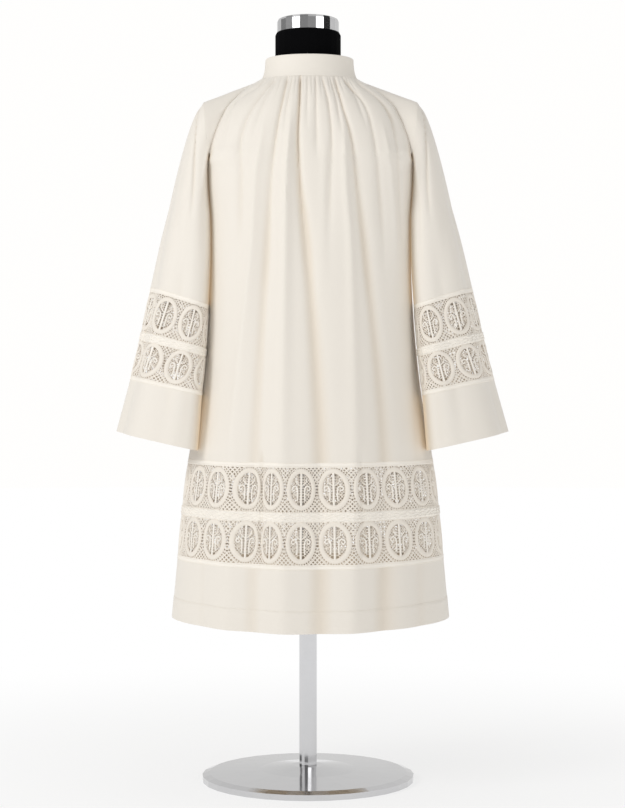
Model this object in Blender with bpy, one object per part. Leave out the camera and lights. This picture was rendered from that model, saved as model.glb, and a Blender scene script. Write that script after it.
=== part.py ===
"""A gathered surplice with two bands of lace, on a limbless dress form, at real size.

Metres, +Z up. The origin is the centre of the base's underside. The garment's back faces -Y and
its right-hand side, seen from behind, lies at +X. Every cloth piece is a thin wall: an outer
surface worked out from the section tables below, and an inner one a cloth's thickness inside it.
"""

import math
from collections import namedtuple

import bmesh
import bpy
from mathutils import Vector
from mathutils.geometry import delaunay_2d_cdt

# Cloth
CLOTH = 0.0018
COLLAR_CLOTH = 0.0024
SEAM = 0.0003
SEAM_TURN = 0.043
COLLAR_SEAM_TURN = 0.115
GARMENT_X = 0.0045
COLLAR_X = -0.0020
COLLAR_X_FROM = 1.2000
COLLAR_X_OVER = 0.0500

# How the cloth's thickness runs: mostly level, and downwards over the shoulders
INWARD_X = 0.5500
SHOULDER_SLOPE = 0.9000
SHOULDER_FROM = 1.1100
SHOULDER_OVER = 0.0300

# Lengths down the garment
UNDERARM = 1.0800
LACE_TOP = 0.5770
LACE_BOTTOM = 0.3990
HEM = 0.2940
HEM_DIP = 0.0105
DIP_FROM = 0.9000

# Neck gathers
BACK_GATHERS = 22
FRONT_GATHERS = 11
SEGMENTS_A_GATHER = 4
FINE_LEVELS = 3
HEM_STEPS = 32
GATHER_DEPTH = 0.0030
GATHER_STARTS = 1.2520
GATHER_FULL = 1.2380
GATHER_FADES = 1.2350
GATHER_END = 0.9600
GATHER_UNEVEN = 0.3000
NECK_EASE = 0.0007

# Lace
BODY_REPEATS = 23
BODY_REPEATS_BEHIND = 12
SLEEVE_REPEATS = 7
SLEEVE_REPEATS_BEHIND = 4
LACE_PHASE = -11.5
CELL_HALF_WIDE = 0.3000
CELL_HALF_TALL = 0.2700
CELL_STEM = 0.0550
CELL_BAR = 0.0350
END_GAP = 0.0030

# Sleeves
RING_POINTS = 28
SLEEVE_RADIUS = 0.0650
SLEEVE_CLEAR = 0.0014
SLEEVE_ROUND = 0.0025
UNDERARM_GAP = 0.0012
CUFF_SPREAD = 0.0035

# Dress form
NECK_RADIUS = 0.0590
NECK_TOP = 1.3417
CAP_RADIUS = 0.0555
CAP_TOP = 1.3670
POLE_RADIUS = 0.0160
BASE_RADIUS = 0.1900
BASE_EDGE = 0.0100
BASE_RISE = 0.0260

# The body's sections from the collar seam to the hem. Down to the underarm each one ends on the
# curved seam of the shoulder yoke; below it, on the side seam. turn is the angle, in degrees,
# through which a quarter of the section bends.
Section = namedtuple("Section", "level edge_x edge_y edge_z back_y front_y front_z turn")
SECTIONS = (
    Section(1.2500, 0.0846, 0.0040, 1.2580, 0.0760, 0.0760, 1.2320, 89),
    Section(1.2350, 0.1115, 0.0200, 1.2400, 0.0930, 0.0920, 1.2180, 74),
    Section(1.2130, 0.1307, 0.0350, 1.2230, 0.1070, 0.1050, 1.1980, 68),
    Section(1.1900, 0.1468, 0.0490, 1.2040, 0.1160, 0.1140, 1.1780, 66),
    Section(1.1680, 0.1563, 0.0570, 1.1840, 0.1215, 0.1190, 1.1590, 68),
    Section(1.1500, 0.1650, 0.0620, 1.1630, 0.1250, 0.1230, 1.1430, 70),
    Section(1.1300, 0.1726, 0.0650, 1.1390, 0.1280, 0.1260, 1.1250, 74),
    Section(1.1100, 0.1768, 0.0655, 1.1170, 0.1300, 0.1280, 1.1070, 80),
    Section(1.0950, 0.1828, 0.0360, 1.1050, 0.1312, 0.1290, 1.0930, 86),
    Section(UNDERARM, 0.1850, 0.0000, 1.0985, 0.1324, 0.1300, 1.0800, 90),
    Section(1.0600, 0.1836, 0.0000, 1.0680, 0.1338, 0.1312, 1.0600, 90),
    Section(1.0000, 0.1800, 0.0000, 1.0030, 0.1372, 0.1335, 1.0000, 90),
    Section(0.9200, 0.1800, 0.0000, 0.9200, 0.1422, 0.1380, 0.9200, 90),
    Section(0.8400, 0.1840, 0.0000, 0.8400, 0.1475, 0.1435, 0.8400, 90),
    Section(0.7600, 0.1910, 0.0000, 0.7600, 0.1535, 0.1500, 0.7600, 90),
    Section(0.6800, 0.2010, 0.0000, 0.6800, 0.1598, 0.1570, 0.6800, 90),
    Section(0.6200, 0.2120, 0.0000, 0.6200, 0.1645, 0.1620, 0.6200, 90),
    Section(LACE_TOP, 0.2195, 0.0000, 0.5770, 0.1680, 0.1660, 0.5770, 90),
    Section(0.5000, 0.2295, 0.0000, 0.5000, 0.1745, 0.1730, 0.5000, 90),
    Section(LACE_BOTTOM, 0.2390, 0.0000, 0.3990, 0.1835, 0.1820, 0.3990, 90),
    Section(HEM, 0.2485, 0.0000, 0.2940, 0.1925, 0.1910, 0.2940, 90),
)
YOKE_LEVELS = (1.2500, 1.2380, 1.2200, 1.1900, 1.1500, 1.1100)

# Long folds hanging from the gathers: the angle round the body, in degrees from the centre back,
# where a fold starts and where it meets the hem, its depth outwards, its half width in degrees,
# and the levels where it starts and is full.
Fold = namedtuple("Fold", "top hem depth width starts full")
FOLDS = (
    Fold(-8, -10, -0.0085, 4.0, 1.19, 1.06),
    Fold(-1, -3, 0.0050, 4.5, 1.17, 1.02),
    Fold(6, 5, -0.0040, 4.0, 1.15, 0.98),
    Fold(14, 15, 0.0065, 4.5, 1.17, 1.04),
    Fold(25, 28, -0.0085, 5.0, 1.19, 1.05),
    Fold(35, 40, 0.0050, 5.0, 1.15, 0.98),
    Fold(46, 54, -0.0060, 5.5, 1.12, 0.90),
    Fold(-17, -19, 0.0055, 4.5, 1.16, 1.02),
    Fold(-26, -29, -0.0075, 5.0, 1.18, 1.03),
    Fold(-36, -41, 0.0050, 5.0, 1.14, 0.96),
    Fold(-46, -53, -0.0055, 5.5, 1.10, 0.88),
    Fold(64, 70, 0.0060, 6.5, 0.56, 0.44),
    Fold(-65, -71, 0.0055, 6.5, 0.56, 0.44),
    Fold(171, 169, -0.0060, 5.0, 1.13, 0.98),
    Fold(160, 157, 0.0050, 5.0, 1.12, 0.96),
    Fold(150, 146, -0.0070, 5.5, 1.13, 0.97),
    Fold(139, 133, 0.0050, 5.5, 1.10, 0.92),
    Fold(128, 121, -0.0055, 6.0, 1.08, 0.86),
    Fold(-170, -168, -0.0060, 5.0, 1.12, 0.97),
    Fold(-159, -156, 0.0055, 5.0, 1.13, 0.98),
    Fold(-148, -145, -0.0065, 5.5, 1.12, 0.95),
    Fold(-138, -132, 0.0050, 5.5, 1.09, 0.90),
    Fold(-127, -120, -0.0060, 6.0, 1.08, 0.87),
    Fold(108, 109, 0.0050, 6.5, 0.56, 0.44),
    Fold(-108, -110, 0.0055, 6.5, 0.56, 0.44),
)
FOLD_STRETCH = 1.5
SPREAD_FROM = 1.1500
CALM_FROM = 1.0000
CALM_UNTIL = 0.6000
CALM = 0.6500
HELD_WIDTH = 26.0
HELD_EDGE = 14.0

# The armhole seam, from the shoulder point (0 degrees) down the back to the underarm (180).
Armhole = namedtuple("Armhole", "turn x y z")
ARMHOLE = (
    Armhole(0, 0.1890, 0.0000, 1.2190),
    Armhole(30, 0.1890, 0.0360, 1.2110),
    Armhole(60, 0.1870, 0.0580, 1.1880),
    Armhole(90, 0.1845, 0.0665, 1.1600),
    Armhole(115, 0.1815, 0.0680, 1.1340),
    Armhole(900 / 7, 0.1800, 0.0672, 1.1190),
    Armhole(1080 / 7, 0.1828, 0.0360, 1.1050),
    Armhole(180, 0.1850, 0.0000, 1.0985),
)
YOKE_STEPS = 10
ARM_CENTRE = Vector((0.2250, 0.0000, 1.1300))
CAP_OUT = 0.0260
CAP_DOWN = 0.0120

# The sleeve's rings below its head: their outer and inner points, half depth, the centre's place
# behind the side seam, and how far the inner end lies further behind than the outer one.
Ring = namedtuple("Ring", "outer_x outer_z inner_x inner_z half_depth behind skew")
SLEEVE = (
    Ring(0.2550, 1.0300, 0.1750, 1.0080, 0.0740, 0.0100, 0.0250),
    Ring(0.2720, 0.9660, 0.1755, 0.9400, 0.0710, 0.0140, 0.0280),
    Ring(0.2905, 0.8850, 0.1810, 0.8500, 0.0680, 0.0200, 0.0310),
    Ring(0.3090, 0.8000, 0.1865, 0.7680, 0.0650, 0.0240, 0.0330),
    Ring(0.3285, 0.7190, 0.1940, 0.6900, 0.0620, 0.0280, 0.0350),
    Ring(0.3535, 0.6260, 0.2010, 0.5930, 0.0640, 0.0300, 0.0350),
)
SLEEVE_LACE_TOP = 3.0
SLEEVE_LACE_BOTTOM = 5.0
SLEEVE_END = 6.0

# Soft folds along a sleeve: the angle round it, in degrees from its outer line towards the back,
# the depth, the half width in degrees, and the ring where it is full.
SleeveFold = namedtuple("SleeveFold", "turn depth width full")
SLEEVE_FOLDS = (
    SleeveFold(28, -0.0050, 13, 0.5),
    SleeveFold(60, 0.0035, 15, 1.5),
    SleeveFold(100, -0.0040, 17, 2.5),
    SleeveFold(142, 0.0030, 15, 2.5),
    SleeveFold(215, -0.0030, 15, 2.0),
    SleeveFold(262, 0.0040, 18, 2.0),
    SleeveFold(320, -0.0045, 15, 0.8),
)

# The collar band, by the share of its height.
Band = namedtuple("Band", "share half_width back front")
COLLAR = (
    Band(0.0, 0.0846, 0.0760, 0.0760),
    Band(0.5, 0.0805, 0.0720, 0.0725),
    Band(1.0, 0.0792, 0.0705, 0.0710),
)
COLLAR_BEHIND = 0.0425
COLLAR_BESIDE = 0.0358
COLLAR_BEFORE = 0.0380
COLLAR_POINTS = 40

# The dress form's torso, leaning to where the garment hangs. round is 2 for an ellipse and less for
# the sharper section of the shoulders.
Form = namedtuple("Form", "z half_width back front lean round")
FORM = (
    Form(1.2600, 0.0590, 0.0590, 0.0590, 0.0000, 2.0),
    Form(1.2490, 0.1000, 0.0560, 0.0540, 0.0045, 1.1),
    Form(1.2380, 0.1320, 0.0620, 0.0580, 0.0045, 1.0),
    Form(1.2290, 0.1552, 0.0680, 0.0620, 0.0045, 1.1),
    Form(1.2150, 0.1660, 0.0800, 0.0740, 0.0045, 1.35),
    Form(1.1900, 0.1700, 0.0960, 0.0900, 0.0045, 1.7),
    Form(1.1500, 0.1660, 0.1070, 0.1040, 0.0045, 2.0),
    Form(1.0800, 0.1600, 0.1090, 0.1100, 0.0045, 2.0),
    Form(0.9600, 0.1360, 0.1020, 0.1060, 0.0045, 2.0),
    Form(0.8800, 0.1330, 0.1000, 0.1010, 0.0045, 2.0),
    Form(0.7800, 0.1460, 0.1090, 0.1070, 0.0045, 2.0),
    Form(0.6700, 0.1630, 0.1230, 0.1190, 0.0045, 2.0),
    Form(0.6200, 0.1600, 0.1200, 0.1160, 0.0045, 2.0),
)
FORM_POINTS = 24
BASE_POINTS = 32
POLE_POINTS = 16


def smooth(x):
    x = min(max(x, 0.0), 1.0)
    return x * x * (3.0 - 2.0 * x)


def along(table, key, at):
    """The table's row at a value of its first column, or at a row number, read from a smooth curve."""
    marks = [getattr(row, key) if key else i for i, row in enumerate(table)]
    if marks[0] > marks[-1]:
        marks = [-m for m in marks]
        at = -at
    at = min(max(at, marks[0]), marks[-1])
    i = max(k for k in range(len(marks) - 1) if marks[k] <= at)
    step = marks[i + 1] - marks[i]
    t = (at - marks[i]) / step
    values = []
    for column in zip(*table):
        before = (column[i + 1] - column[i]) / step
        after = before
        if i > 0:
            before = (column[i + 1] - column[i - 1]) / (marks[i + 1] - marks[i - 1])
        if i + 2 < len(marks):
            after = (column[i + 2] - column[i]) / (marks[i + 2] - marks[i])
        rise = (column[i + 1] - column[i]) / step
        bend = before * (1 - t) ** 2 + rise * (3 * t - 2 * t * t) + after * (t * t - t)
        values.append(column[i] + t * step * bend)
    return type(table[0])(*values)


def inward(p, level):
    """The direction through the body's cloth at a point, from its outer to its inner face."""
    deep = smooth((SECTIONS[0].level - level) / SHOULDER_OVER)
    below = SHOULDER_SLOPE * deep * max(p.z - SHOULDER_FROM, 0.0)
    return Vector((-INWARD_X * p.x, -p.y, -below)).normalized()


def gather_wave(level, across, count):
    """How far the neck gathers stand out: across runs from 0 to 1 over count gathers."""
    near = smooth((GATHER_STARTS - level) / (GATHER_STARTS - GATHER_FULL))
    fade = 1.0 - smooth((GATHER_FADES - level) / (GATHER_FADES - GATHER_END))
    depth = GATHER_DEPTH * (0.45 + 0.55 * near) * fade ** 1.5
    number = across * count
    uneven = 1.0 + GATHER_UNEVEN * math.sin(2.1 * math.floor(number + 0.5) + 0.7)
    flat_edge = smooth(number) * smooth(count - number)
    return -depth * uneven * flat_edge * math.cos(2.0 * math.pi * number)


def wrapped(angle):
    return (angle + 180.0) % 360.0 - 180.0


def arc_angle(level, angle):
    """The angle of the section's own arc, which above the underarm spans less than a quarter turn."""
    share = along(SECTIONS, "level", level).turn / 90.0
    angle = wrapped(angle)
    if abs(angle) <= 90.0:
        return angle * share
    return math.copysign(180.0 - (180.0 - abs(angle)) * share, angle)


def fold_wave(level, angle):
    """How far the long folds stand out at a level and an angle round the body, in degrees. They are
    deepest under the shoulder blades and calm down towards the lace."""
    total = 0.0
    arc = arc_angle(level, angle)
    fallen = smooth((SPREAD_FROM - level) / (SPREAD_FROM - HEM))
    for fold in FOLDS:
        centre = fold.top + (fold.hem - fold.top) * fallen
        width = fold.width * (1.0 + (FOLD_STRETCH - 1.0) * fallen)
        grown = smooth((fold.starts - level) / (fold.starts - fold.full))
        total += fold.depth * grown * math.exp(-((wrapped(arc - centre) / width) ** 2))
    calm = 1.0 - CALM * smooth((CALM_FROM - level) / (CALM_FROM - CALM_UNTIL))
    beside_arm = abs(abs(wrapped(angle)) - 90.0)
    held = 1.0 - smooth((beside_arm - HELD_WIDTH) / HELD_EDGE)
    free = smooth((LACE_TOP + 0.02 - level) / 0.06)
    return total * calm * (1.0 - held * (1.0 - free))


def body_base(level, angle):
    """A point of the body's surface without its folds. angle is 0 behind, 90 at +X, 180 in front."""
    section = along(SECTIONS, "level", level)
    angle = wrapped(angle)
    behind = abs(angle) <= 90.0
    part = abs(angle) / 90.0 if behind else (180.0 - abs(angle)) / 90.0
    turn = math.radians(section.turn)
    side = math.sin(part * turn) / math.sin(turn)
    centre = (math.cos(part * turn) - math.cos(turn)) / (1.0 - math.cos(turn))
    dip = HEM_DIP * (max(DIP_FROM - level, 0.0) / (DIP_FROM - HEM)) ** 2
    x = math.copysign(section.edge_x * side, angle)
    if behind:
        y = -section.edge_y - (section.back_y - section.edge_y) * centre
        middle = level - dip
    else:
        y = section.edge_y + (section.front_y - section.edge_y) * centre
        middle = section.front_z - dip
    z = section.edge_z + (middle - section.edge_z) * centre * centre
    shift = COLLAR_X * smooth((level - COLLAR_X_FROM) / COLLAR_X_OVER)
    return Vector((x + shift, y, z))


def body_point(level, angle):
    """A point of the body's outer surface, and the direction through its cloth."""
    p = body_base(level, angle)
    angle = wrapped(angle)
    if abs(angle) <= 90.0:
        wave = gather_wave(level, (angle + 90.0) / 180.0, BACK_GATHERS)
    else:
        wave = gather_wave(level, (180.0 - abs(angle)) / 90.0, FRONT_GATHERS)
    through = inward(p, level)
    return p - through * (wave + fold_wave(level, angle)), through


def body_half_width(y, z):
    """How far out the smooth body reaches at a depth y, below the underarm."""
    section = along(SECTIONS, "level", z)
    deep = section.back_y if y < 0.0 else section.front_y
    return section.edge_x * math.sqrt(max(1.0 - (y / deep) ** 2, 0.0))


def armhole_point(side, turn):
    """A point of the armhole seam and the direction through the cloth there."""
    turn = turn % 360.0
    row = along(ARMHOLE, "turn", min(turn, 360.0 - turn))
    y = -row.y if turn <= 180.0 else row.y
    p = Vector((row.x, y, row.z))
    top = 1.0 - smooth((min(turn, 360.0 - turn) - 20.0) / 110.0)
    to_centre = (ARM_CENTRE - p).normalized()
    through = (inward(p, row.z) * top + to_centre * (1.0 - top)).normalized()
    return Vector((side * p.x, p.y, p.z)), Vector((side * through.x, through.y, through.z))


def sleeve_ring(side, station, turn):
    """A point of the sleeve's lower part: station 1 to 6 are the rows of the SLEEVE table."""
    ring = along(SLEEVE, None, station - 1.0)
    a = math.radians(turn)
    spread = side * CUFF_SPREAD * (station - 1.0) / (SLEEVE_END - 1.0)
    centre_x = (ring.outer_x + ring.inner_x) / 2.0 + spread
    half = (ring.outer_x - ring.inner_x) / 2.0
    swell = 1.0
    for fold in SLEEVE_FOLDS:
        away = wrapped(turn - fold.turn)
        grown = 0.35 + 0.65 * smooth(station / (fold.full + 1.0))
        swell += fold.depth / SLEEVE_RADIUS * grown * math.exp(-((away / fold.width) ** 2))
    out = math.cos(a)
    x = centre_x + half * out * swell
    y = -ring.behind - ring.half_depth * math.sin(a) * swell + ring.skew * out
    middle_z = (ring.outer_z + ring.inner_z) / 2.0
    tilt = (ring.outer_z - ring.inner_z) / (2.0 * half)
    wall = body_half_width(y, middle_z + tilt * (x - centre_x)) + SLEEVE_CLEAR
    x = (x + wall + math.hypot(x - wall, 2.0 * SLEEVE_ROUND)) / 2.0
    z = middle_z + tilt * (x - centre_x)
    through = Vector((centre_x - x, -ring.behind - y, 0.0)).normalized()
    return Vector((side * x, y, z)), Vector((side * through.x, through.y, tilt * through.x))


def sleeve_point(side, station, turn):
    """A point of the sleeve's outer surface, from the armhole (station 0) to the cuff's edge (6)."""
    if station >= 1.0:
        return sleeve_ring(side, station, turn)
    start, through_start = armhole_point(side, turn)
    end, through_end = sleeve_ring(side, 1.0, turn)
    shoulder = 0.5 + 0.5 * math.cos(math.radians(turn))
    start = start + Vector((side * UNDERARM_GAP * (1.0 - shoulder), 0.0, 0.0))
    bulge = start + Vector((side * CAP_OUT, 0.0, -CAP_DOWN))
    straight = (start + end) / 2.0
    control = straight.lerp(bulge, shoulder)
    t = station
    p = start * (1 - t) ** 2 + control * 2 * t * (1 - t) + end * t * t
    return p, through_start.lerp(through_end, smooth(t * 1.6)).normalized()


def yoke_point(side, across, step):
    """A point of a shoulder yoke, from the body's curved seam (0) out to the armhole seam (1).
    Each level of the panels takes two steps, so that the seam's points lie on the panels' edges."""
    number = min(abs(step) // 2, len(YOKE_LEVELS) - 2)
    levels = YOKE_LEVELS[number : number + 2]
    behind = 90.0 if step >= 0 else 90.0001
    ends = [body_base(level, side * behind) for level in levels]
    share = abs(step) / 2.0 - number
    inner = ends[0].lerp(ends[1], share)
    level = levels[0] + (levels[1] - levels[0]) * share
    if step == 0:
        inner.y = 0.0
    outer, through_outer = armhole_point(side, step * 360.0 / RING_POINTS)
    through_inner = inward(inner, level)
    along_seam = (outer - inner).normalized()
    inner = inner + along_seam * SEAM
    outer = outer - along_seam * SEAM
    p = inner.lerp(outer, across)
    return p, through_inner.lerp(through_outer, across).normalized()


def grid_faces(rows):
    """Faces between rows of point numbers, where a row may have half as many steps as the last."""
    faces = []
    for upper, lower in zip(rows, rows[1:]):
        if len(upper) == len(lower):
            for i in range(len(upper) - 1):
                faces.append((upper[i], lower[i], lower[i + 1], upper[i + 1]))
        else:
            for i in range(len(lower) - 1):
                a, b, c = upper[2 * i : 2 * i + 3]
                faces.append((a, lower[i], b))
                faces.append((b, lower[i], lower[i + 1]))
                faces.append((b, lower[i + 1], c))
    return faces


def make_wall(name, points, faces, thickness, material):
    """A closed wall: points are (outer point, direction through the cloth), faces its outer side."""
    outer = [p for p, _ in points]
    inner = [p + through * thickness for p, through in points]
    count = len(points)
    faces = [(f[0], f[i], f[i + 1]) for f in faces for i in range(1, len(f) - 1)]
    directed = {(f[i], f[(i + 1) % len(f)]) for f in faces for i in range(len(f))}
    sides = [(b, a, a + count, b + count) for a, b in sorted(directed) if (b, a) not in directed]
    back = [tuple(i + count for i in reversed(f)) for f in faces]
    return make_object(name, outer + inner, faces + back + sides, material)


def make_object(name, points, faces, material):
    mesh = bpy.data.meshes.new(name)
    mesh.from_pydata([tuple(p) for p in points], [], faces)
    shape = bmesh.new()
    shape.from_mesh(mesh)
    bmesh.ops.recalc_face_normals(shape, faces=shape.faces)
    shape.to_mesh(mesh)
    shape.free()
    mesh.shade_smooth()
    mesh.set_sharp_from_angle(angle=math.radians(50))
    mesh.materials.append(material)
    obj = bpy.data.objects.new(name, mesh)
    bpy.context.scene.collection.objects.link(obj)
    return obj


def shifted(points):
    """Moves the garment's points to where it hangs on the form."""
    return [(p + Vector((GARMENT_X, 0.0, 0.0)), through) for p, through in points]


def make_material(name, colour, roughness, metallic=0.0):
    material = bpy.data.materials.new(name)
    material.use_nodes = True
    shader = material.node_tree.nodes["Principled BSDF"]
    shader.inputs["Base Color"].default_value = (*colour, 1.0)
    shader.inputs["Roughness"].default_value = roughness
    shader.inputs["Metallic"].default_value = metallic
    return material


def body_piece(name, start, end, levels, counts, top_gap, bottom_gap, material):
    """A piece of the body between two angles, with so many steps at each of its levels."""
    points = []
    rows = []
    for level, count in zip(levels, counts):
        lift = bottom_gap if level == levels[-1] else 0.0
        lift -= top_gap if level == levels[0] else 0.0
        row = []
        for i in range(count + 1):
            angle = start + SEAM_TURN + (end - start - 2.0 * SEAM_TURN) * i / count
            p, through = body_point(level, angle)
            p.z += lift
            row.append(len(points))
            points.append((p, through))
        rows.append(row)
    return make_wall(name, shifted(points), grid_faces(rows), CLOTH, material)


def panel(name, start, end, gathers, material):
    """A body panel between two angles, fine at its neck gathers and half as fine below them."""
    levels = YOKE_LEVELS + (1.0950, UNDERARM, 1.0200, 0.8900, 0.7300, LACE_TOP)
    fine = gathers * SEGMENTS_A_GATHER
    counts = [fine if level in YOKE_LEVELS[:FINE_LEVELS] else fine // 2 for level in levels]
    return body_piece(name, start, end, levels, counts, NECK_EASE, SEAM / 2.0, material)


def hem_band(name, start, end, material):
    levels = (LACE_BOTTOM, (LACE_BOTTOM + HEM) / 2.0, HEM)
    counts = [HEM_STEPS] * len(levels)
    return body_piece(name, start, end, levels, counts, SEAM / 2.0, 0.0, material)


def lace_cell(middle):
    """Points and faces of one lace repeat in a unit square, with four quarter-oval gaps cut out."""
    points = [(0.0, 0.0), (0.5, 0.0), (1.0, 0.0), (1.0, 1.0), (0.5, 1.0), (0.0, 1.0)]
    edges = [(i, (i + 1) % len(points)) for i in range(len(points))]
    gaps = []
    for sx in (-1, 1):
        for sy in (-1, 1):
            first = len(points)
            quarter = [
                (CELL_STEM, CELL_BAR),
                (CELL_HALF_WIDE, CELL_BAR),
                (0.74 * CELL_HALF_WIDE, 0.74 * CELL_HALF_TALL),
                (CELL_STEM, CELL_HALF_TALL),
            ]
            gap = [(0.5 + sx * x, middle + sy * y) for x, y in quarter]
            points += gap
            edges += [(first + i, first + (i + 1) % 4) for i in range(4)]
            gaps.append(gap)
    found, _, faces, _, _, _ = delaunay_2d_cdt([Vector(p) for p in points], edges, [], 0, 1e-6)
    kept = []
    for face in faces:
        centre = sum((found[i] for i in face), Vector((0.0, 0.0))) / len(face)
        if not any(inside(centre, gap) for gap in gaps):
            kept.append(tuple(face))
    return [tuple(p) for p in found], kept


def inside(p, polygon):
    odd = False
    for (x0, y0), (x1, y1) in zip(polygon, polygon[1:] + polygon[:1]):
        if (y0 > p.y) != (y1 > p.y) and p.x < x0 + (p.y - y0) / (y1 - y0) * (x1 - x0):
            odd = not odd
    return odd


def lace(name, first, last, place, material):
    """Lace over repeats first to last of two rows. place(across, down) gives a surface point, where
    across counts repeats and down runs from 0 at the top edge to 2 at the bottom edge."""
    points = []
    numbers = {}
    faces = []
    cells = [lace_cell(0.50), lace_cell(0.46)]
    span = last - first
    inner_span = span - 2.0 * END_GAP
    for column in range(first, last):
        for row, (corners, cell_faces) in enumerate(cells):
            local = []
            for x, y in corners:
                key = (round(column + x, 5), round(row + y, 5))
                if key not in numbers:
                    numbers[key] = len(points)
                    across = first + END_GAP + (key[0] - first) * inner_span / span
                    points.append(place(across, key[1]))
                local.append(numbers[key])
            faces += [tuple(local[i] for i in face) for face in cell_faces]
    return make_wall(name, shifted(points), faces, CLOTH, material)


def body_lace_place(across, down):
    angle = LACE_PHASE + 360.0 * (across - BODY_REPEATS_BEHIND / 2.0) / BODY_REPEATS
    level = LACE_TOP + (LACE_BOTTOM - LACE_TOP) * down / 2.0
    p, through = body_point(level, angle)
    p.z += SEAM * (down - 1.0) / 2.0
    return p, through


def sleeve_lace_place(side):
    def place(across, down):
        turn = 90.0 + 360.0 * (across - SLEEVE_REPEATS_BEHIND / 2.0) / SLEEVE_REPEATS
        station = SLEEVE_LACE_TOP + (SLEEVE_LACE_BOTTOM - SLEEVE_LACE_TOP) * down / 2.0
        p, through = sleeve_point(side, station, turn)
        p.z += SEAM * (down - 1.0) / 2.0
        return p, through

    return place


def sleeve_tube(name, side, stations, thickness, material, gap_top, gap_bottom):
    points = []
    rows = []
    for station in stations:
        row = []
        for i in range(RING_POINTS):
            p, through = sleeve_point(side, station, 360.0 * i / RING_POINTS)
            if station == 0.0:
                p = p + (sleeve_point(side, 0.05, 360.0 * i / RING_POINTS)[0] - p).normalized() * gap_top
            elif station == stations[0]:
                p.z -= gap_top
            if station == stations[-1]:
                p.z += gap_bottom
            row.append(len(points))
            points.append((p, through))
        rows.append(row + row[:1])
    return make_wall(name, shifted(points), grid_faces(rows), thickness, material)


def yoke(name, side, material):
    across = 3
    points = []
    rows = []
    for step in range(-YOKE_STEPS, YOKE_STEPS + 1):
        row = []
        for i in range(across + 1):
            p, through = yoke_point(side, i / across, step)
            if i == 0 and abs(step) <= 1:
                p.z -= NECK_EASE
            row.append(len(points))
            points.append((p, through))
        rows.append(row)
    return make_wall(name, shifted(points), grid_faces(rows), CLOTH, material)


def collar(name, material):
    """The stand collar, a band that ends on both sides of the centre front."""
    points = []
    rows = []
    for share in (0.0, 0.5, 1.0):
        band = along(COLLAR, "share", share)
        row = []
        for i in range(COLLAR_POINTS + 1):
            angle = -180.0 + COLLAR_SEAM_TURN + (360.0 - 2.0 * COLLAR_SEAM_TURN) * i / COLLAR_POINTS
            foot = body_base(SECTIONS[0].level, angle)
            a = math.radians(angle)
            deep, middle = (band.back, COLLAR_BEHIND) if abs(angle) <= 90.0 else (band.front, COLLAR_BEFORE)
            p = Vector((band.half_width * math.sin(a) + COLLAR_X, -deep * math.cos(a), foot.z))
            p.z += SEAM / 2.0 + (COLLAR_BESIDE + (middle - COLLAR_BESIDE) * math.cos(a) ** 2) * share
            through = Vector((COLLAR_X - p.x, -p.y, 0.0)).normalized()
            row.append(len(points))
            points.append((p, through))
        rows.append(row)
    return make_wall(name, shifted(points), grid_faces(rows), COLLAR_CLOTH, material)


def turned(name, profile, count, material):
    """A solid of Form rings, closed by a flat face at both ends."""
    points = []
    rows = []
    for ring in profile:
        row = []
        for i in range(count):
            a = 2.0 * math.pi * i / count
            deep = ring.back if math.cos(a) > 0.0 else ring.front
            across = math.copysign(abs(math.sin(a)) ** (2.0 / ring.round), math.sin(a))
            behind = math.copysign(abs(math.cos(a)) ** (2.0 / ring.round), math.cos(a))
            row.append(len(points))
            points.append(Vector((ring.half_width * across + ring.lean, -deep * behind, ring.z)))
        rows.append(row)
    faces = grid_faces([row + row[:1] for row in rows])
    faces.append(tuple(rows[0]))
    faces.append(tuple(reversed(rows[-1])))
    return make_object(name, points, faces, material)


def round_rows(rings):
    return [Form(z, radius, radius, radius, 0.0, 2.0) for z, radius in rings]


def dress_form(cover, chrome):
    """The limbless form that carries the cloth: torso, neck, cap, pole and round base."""
    turned("form_torso", FORM, FORM_POINTS, cover)
    neck_foot = FORM[0].z + SEAM
    neck = [(NECK_TOP, NECK_RADIUS - 0.002), (NECK_TOP - 0.004, NECK_RADIUS), (neck_foot, NECK_RADIUS)]
    turned("form_neck", round_rows(neck), FORM_POINTS, cover)
    foot = NECK_TOP + SEAM
    cap = [
        (CAP_TOP, CAP_RADIUS - 0.005),
        (CAP_TOP - 0.0015, CAP_RADIUS - 0.0015),
        (CAP_TOP - 0.005, CAP_RADIUS),
        (foot, CAP_RADIUS),
    ]
    turned("neck_cap", round_rows(cap), FORM_POINTS, chrome)
    pole = [(FORM[-1].z - SEAM, POLE_RADIUS), (BASE_RISE + SEAM, POLE_RADIUS)]
    turned("pole", round_rows(pole), POLE_POINTS, chrome)
    base = [
        (BASE_RISE, POLE_RADIUS * 1.8),
        (BASE_RISE * 0.75, BASE_RADIUS * 0.45),
        (BASE_RISE * 0.55, BASE_RADIUS * 0.93),
        (BASE_EDGE, BASE_RADIUS),
        (0.0, BASE_RADIUS),
    ]
    turned("base", round_rows(base), BASE_POINTS, chrome)


def clear_scene():
    for obj in list(bpy.data.objects):
        bpy.data.objects.remove(obj, do_unlink=True)


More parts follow.
